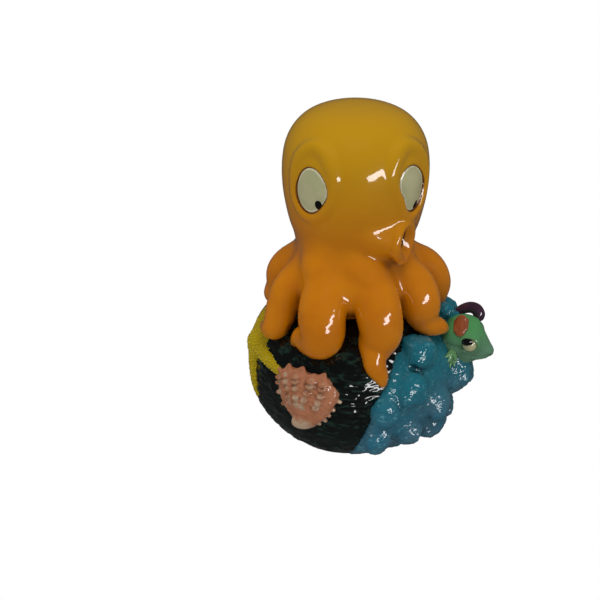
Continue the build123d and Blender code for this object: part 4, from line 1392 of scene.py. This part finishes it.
# %% Fish eyes and pupils
lens_rings = 8
lens_spokes = 48
lens_edge_share = 0.9    # how flat a lens gets at its rim
fish_gaze_share = 0.18   # how far the eyes look up
fish_eye_lens = ((fish_eye_radius, fish_eye_radius), 0.15, 1.3)      # radii, lift off the flank and crown
fish_pupil = (-0.1, 4.45)
fish_pupil_lens = ((1.85, 1.35), 1.15, 0.55)


def make_lenses(name, spot, radii, lift, crown):
    """A pair of closed lenses that crown over an oval rim, one on each side of the fish."""
    points = []
    faces = []
    for side in (-1, 1):
        outward = fish_far * side + fish_up * fish_gaze_share
        outward = outward / np.linalg.norm(outward)
        across = np.cross([0, 0, 1], outward)
        across = across / np.linalg.norm(across)
        up = np.cross(outward, across)
        centre = on_flank(*spot, lift, side)
        first = len(points)
        faces += [tuple(first + corner for corner in face) for face in chip_faces(lens_rings, lens_spokes)]
        for rise in (crown, -crown):
            points.append(centre + outward * rise)
            for share, angle in ring_spots(lens_rings, lens_spokes):
                flat = across * radii[0] * share * math.cos(angle) + up * radii[1] * share * math.sin(angle)
                points.append(centre + flat + outward * rise * (1 - share ** 2 * lens_edge_share))
    return lay_out(name, points, faces)


show(make_lenses("fish_eye_pair", fish_eye, *fish_eye_lens), eye_paint, "eye_white", "fish_eyes")
show(make_lenses("fish_pupil_pair", fish_pupil, *fish_pupil_lens), pupil_paint, "pupil_black", "fish_pupils")

# %% Dorsal fin, a ribbed red pad on the near side of the back
fin_hollow_reaches = (0.4, 0.9, 1.8)
fin_block = ((-6, 7, -4), (-3, 8, -4), 10, 0.3)
fin_ribs = 5
fin_roots = ((-4.6, 4.9), (-1.7, 6.5))       # along and up, of the first and the last rib
fin_tips = ((-6.3, 9.4), (-2.9, 11.2))
fin_root_lift = 0.1
fin_tip_out = 2.6
fin_rib_girth = 1.0
fin_rib_melt = 0.35
fin_thin_share = 0.25    # how much thinner the outer ribs are
fin_short_share = 0.26   # how much shorter they are, at each end
fin = fish_clay(*fin_block)
for share in np.linspace(0, 1, fin_ribs):
    outer = abs(2 * share - 1)
    root = np.array(fin_roots[0]) * (1 - share) + np.array(fin_roots[1]) * share
    tip = np.array(fin_tips[0]) * (1 - share) + np.array(fin_tips[1]) * share
    short = (tip - root) * fin_short_share * outer ** 2
    girth = fin_rib_girth * (1 - fin_thin_share * outer)
    start = on_flank(*(root + short), fin_root_lift)
    end = fish_place(*(tip - short), -fin_tip_out)
    fin.add(limb([(*start, girth), (*end, girth)]), fin_rib_melt)
# the wash colour darkens the gaps between the fin's ribs, painted shade as well as wash
fin_paint = painted_resin("red acrylic under varnish", "#87462c", "#93502b", patch_mm=2.5,
                          wash_and_shade="#3d1206", wash_and_shade_start=0.25)
show(cast("fish_fin_pad", fin, fin_hollow_reaches), fin_paint, "fin_red", "fish_dorsal_fin")

# %% Tail, a purple bar behind the back that bends down to a thick round end
tail_block = ((-4, 6, 5), (-4, 6, 5), 13, 0.3)
tail_route = (           # along, up and out of the fish, and girth
    (-9.5, 1.2, 1.3, 1.4), (-7.8, 4.0, 4.6, 1.5), (-5.8, 6.9, 6.6, 1.65), (-4.0, 8.8, 7.0, 1.85),
    (-2.2, 9.7, 7.2, 2.0), (-0.4, 9.6, 7.2, 2.1), (0.9, 8.6, 6.9, 2.1), (1.2, 7.8, 6.7, 2.0))
tail = fish_clay(*tail_block)
tail.add(limb([(*fish_place(*row[:3]), row[3]) for row in smooth_route(tail_route)]))
tail_paint = painted_resin("purple acrylic under varnish", "#33202f", "#3d2638", patch_mm=4.0)
show(lay_out("fish_tail_bar", *tail.surface()), tail_paint, "tail_purple", "fish_tail")

# %% Pectoral fin, a leafy tuft of five spikes
tuft_block = ((-3, -5, -7), (-3, -5, -7), 9, 0.25)
spike_tips = ((-5.2, -3.0), (-3.9, -4.6), (-2.4, -6.2), (-1.2, -5.1), (-1.1, -2.9))
spike_root = (-3.5, -2.0)
spike_root_sink = 0.4
spike_tip_out = 9.0
spike_girths = (1.2, 0.85, 0.25)
spike_melt = 0.2
tuft = fish_clay(*tuft_block)
for run, up in spike_tips:
    start = on_flank(*spike_root, -spike_root_sink)
    end = fish_place(run, up, -spike_tip_out)
    places = (start, (start + end) / 2, end)
    tuft.add(limb([(*place, girth) for place, girth in zip(places, spike_girths)]), spike_melt)
# the wash colour darkens the gaps between the spikes, painted shade as well as wash
leaf_paint = painted_resin("leaf green acrylic under varnish", "#5c8c58", "#6b9a66", patch_mm=3.0,
                           wash_and_shade="#28482a", wash_and_shade_start=0.25)
show(cast("fish_leafy_fin", tuft, fin_hollow_reaches), leaf_paint, "fish_light_green", "fish_pectoral_fin")

# %% [markdown]
# ## Setting
# A product photograph on white: a pale table that fades into a pale wall, even light from all sides, a soft
# lamp overhead that shades the forms, and a low window on the right that only shows as glints in the varnish.

# %% Table and surroundings
room_light = 0.60        # what lights the paint
mirrored_light = 0.06    # what the varnish mirrors, apart from the lamps
white = (1.0, 1.0, 1.0, 1.0)
paper_grey = (0.8, 0.8, 0.8, 1.0)
table_half = 3.0
scene = bpy.context.scene
scene.view_settings.view_transform = "Standard"


def start_tree(block):
    """The emptied node tree of a material or a world."""
    block.use_nodes = True
    block.node_tree.nodes.clear()
    return block.node_tree


def seen_apart(tree, paints_see, varnish_sees, camera_sees):
    """One shader of three: what the paint is lit by, what the varnish mirrors and what the camera sees."""
    ray = add_node(tree, "ShaderNodeLightPath")
    shader = paints_see
    for kind, other in (("Is Glossy Ray", varnish_sees), ("Is Camera Ray", camera_sees)):
        blend = add_node(tree, "ShaderNodeMixShader", {}, {0: ray.outputs[kind], 1: shader, 2: other})
        shader = blend.outputs["Shader"]
    return shader


table_paper = bpy.data.materials.new("white paper sweep")
tree = start_tree(table_paper)
paper = add_node(tree, "ShaderNodeBsdfDiffuse", {}, {"Color": paper_grey})
glows = [add_node(tree, "ShaderNodeEmission", {}, {"Color": white, "Strength": strength}).outputs[0]
         for strength in (mirrored_light, 1.0)]
surface = seen_apart(tree, paper.outputs["BSDF"], *glows)
add_node(tree, "ShaderNodeOutputMaterial", {}, {"Surface": surface})

table = bpy.data.meshes.new("table")
table.from_pydata([(-table_half, -table_half, 0), (table_half, -table_half, 0), (table_half, table_half, 0),
                   (-table_half, table_half, 0)], [], [(0, 1, 2, 3)])
table.materials.append(table_paper)
table_object = bpy.data.objects.new("table", table)
scene.collection.objects.link(table_object)

scene.world = bpy.data.worlds.new("white room")
tree = start_tree(scene.world)
room = [add_node(tree, "ShaderNodeBackground", {}, {"Color": white, "Strength": strength}).outputs[0]
        for strength in (room_light, mirrored_light, 1.0)]
add_node(tree, "ShaderNodeOutputWorld", {}, {"Surface": seen_apart(tree, *room)})


# %% Lamps
lamp_target_height = 95.0


def hang_lamp(name, azimuth, elevation, reach, size, tilt, power, mirrored, lighting):
    """A rectangular lamp that faces the head, by its direction from it in degrees and its size in metres."""
    data = bpy.data.lights.new(name, "AREA")
    data.shape = "RECTANGLE"
    data.size, data.size_y = size
    data.energy = power
    lamp = bpy.data.objects.new(name, data)
    lamp.visible_glossy = mirrored
    lamp.visible_diffuse = lighting
    scene.collection.objects.link(lamp)
    target = Vector(axis_place * mm) + Vector((0, 0, lamp_target_height * mm))
    toward = Vector(around(azimuth, math.cos(math.radians(elevation)), math.sin(math.radians(elevation))))
    lamp.location = target + toward * reach
    turn = (-toward).to_track_quat("-Z", "Y")
    lamp.rotation_euler = (turn @ Quaternion((0, 0, 1), math.radians(tilt))).to_euler()
    print("lamp", name, tuple(round(v, 2) for v in lamp.location))


hang_lamp("window", azimuth=36.0, elevation=4.0, reach=0.75, size=(0.62, 0.13), tilt=25.0, power=3.8,
          mirrored=True, lighting=False)
hang_lamp("ceiling", azimuth=0.0, elevation=75.0, reach=0.9, size=(0.7, 0.7), tilt=0.0, power=4.0,
          mirrored=False, lighting=True)

# %% Camera
camera_reach = 400.0
camera_elevation = 30.0
camera_aim = np.array([-18.1, 0.0, 45.0])
camera_data = bpy.data.cameras.new("camera")
camera_data.lens = 69.0
camera_data.sensor_width = 36.0
camera = bpy.data.objects.new("camera", camera_data)
scene.collection.objects.link(camera)
aim = Vector((camera_aim + axis_place) * mm)
tilt = math.radians(camera_elevation)
camera.location = aim + Vector((0, -math.cos(tilt), math.sin(tilt))) * camera_reach * mm
camera.rotation_euler = (math.pi / 2 - tilt, 0, 0)
scene.camera = camera
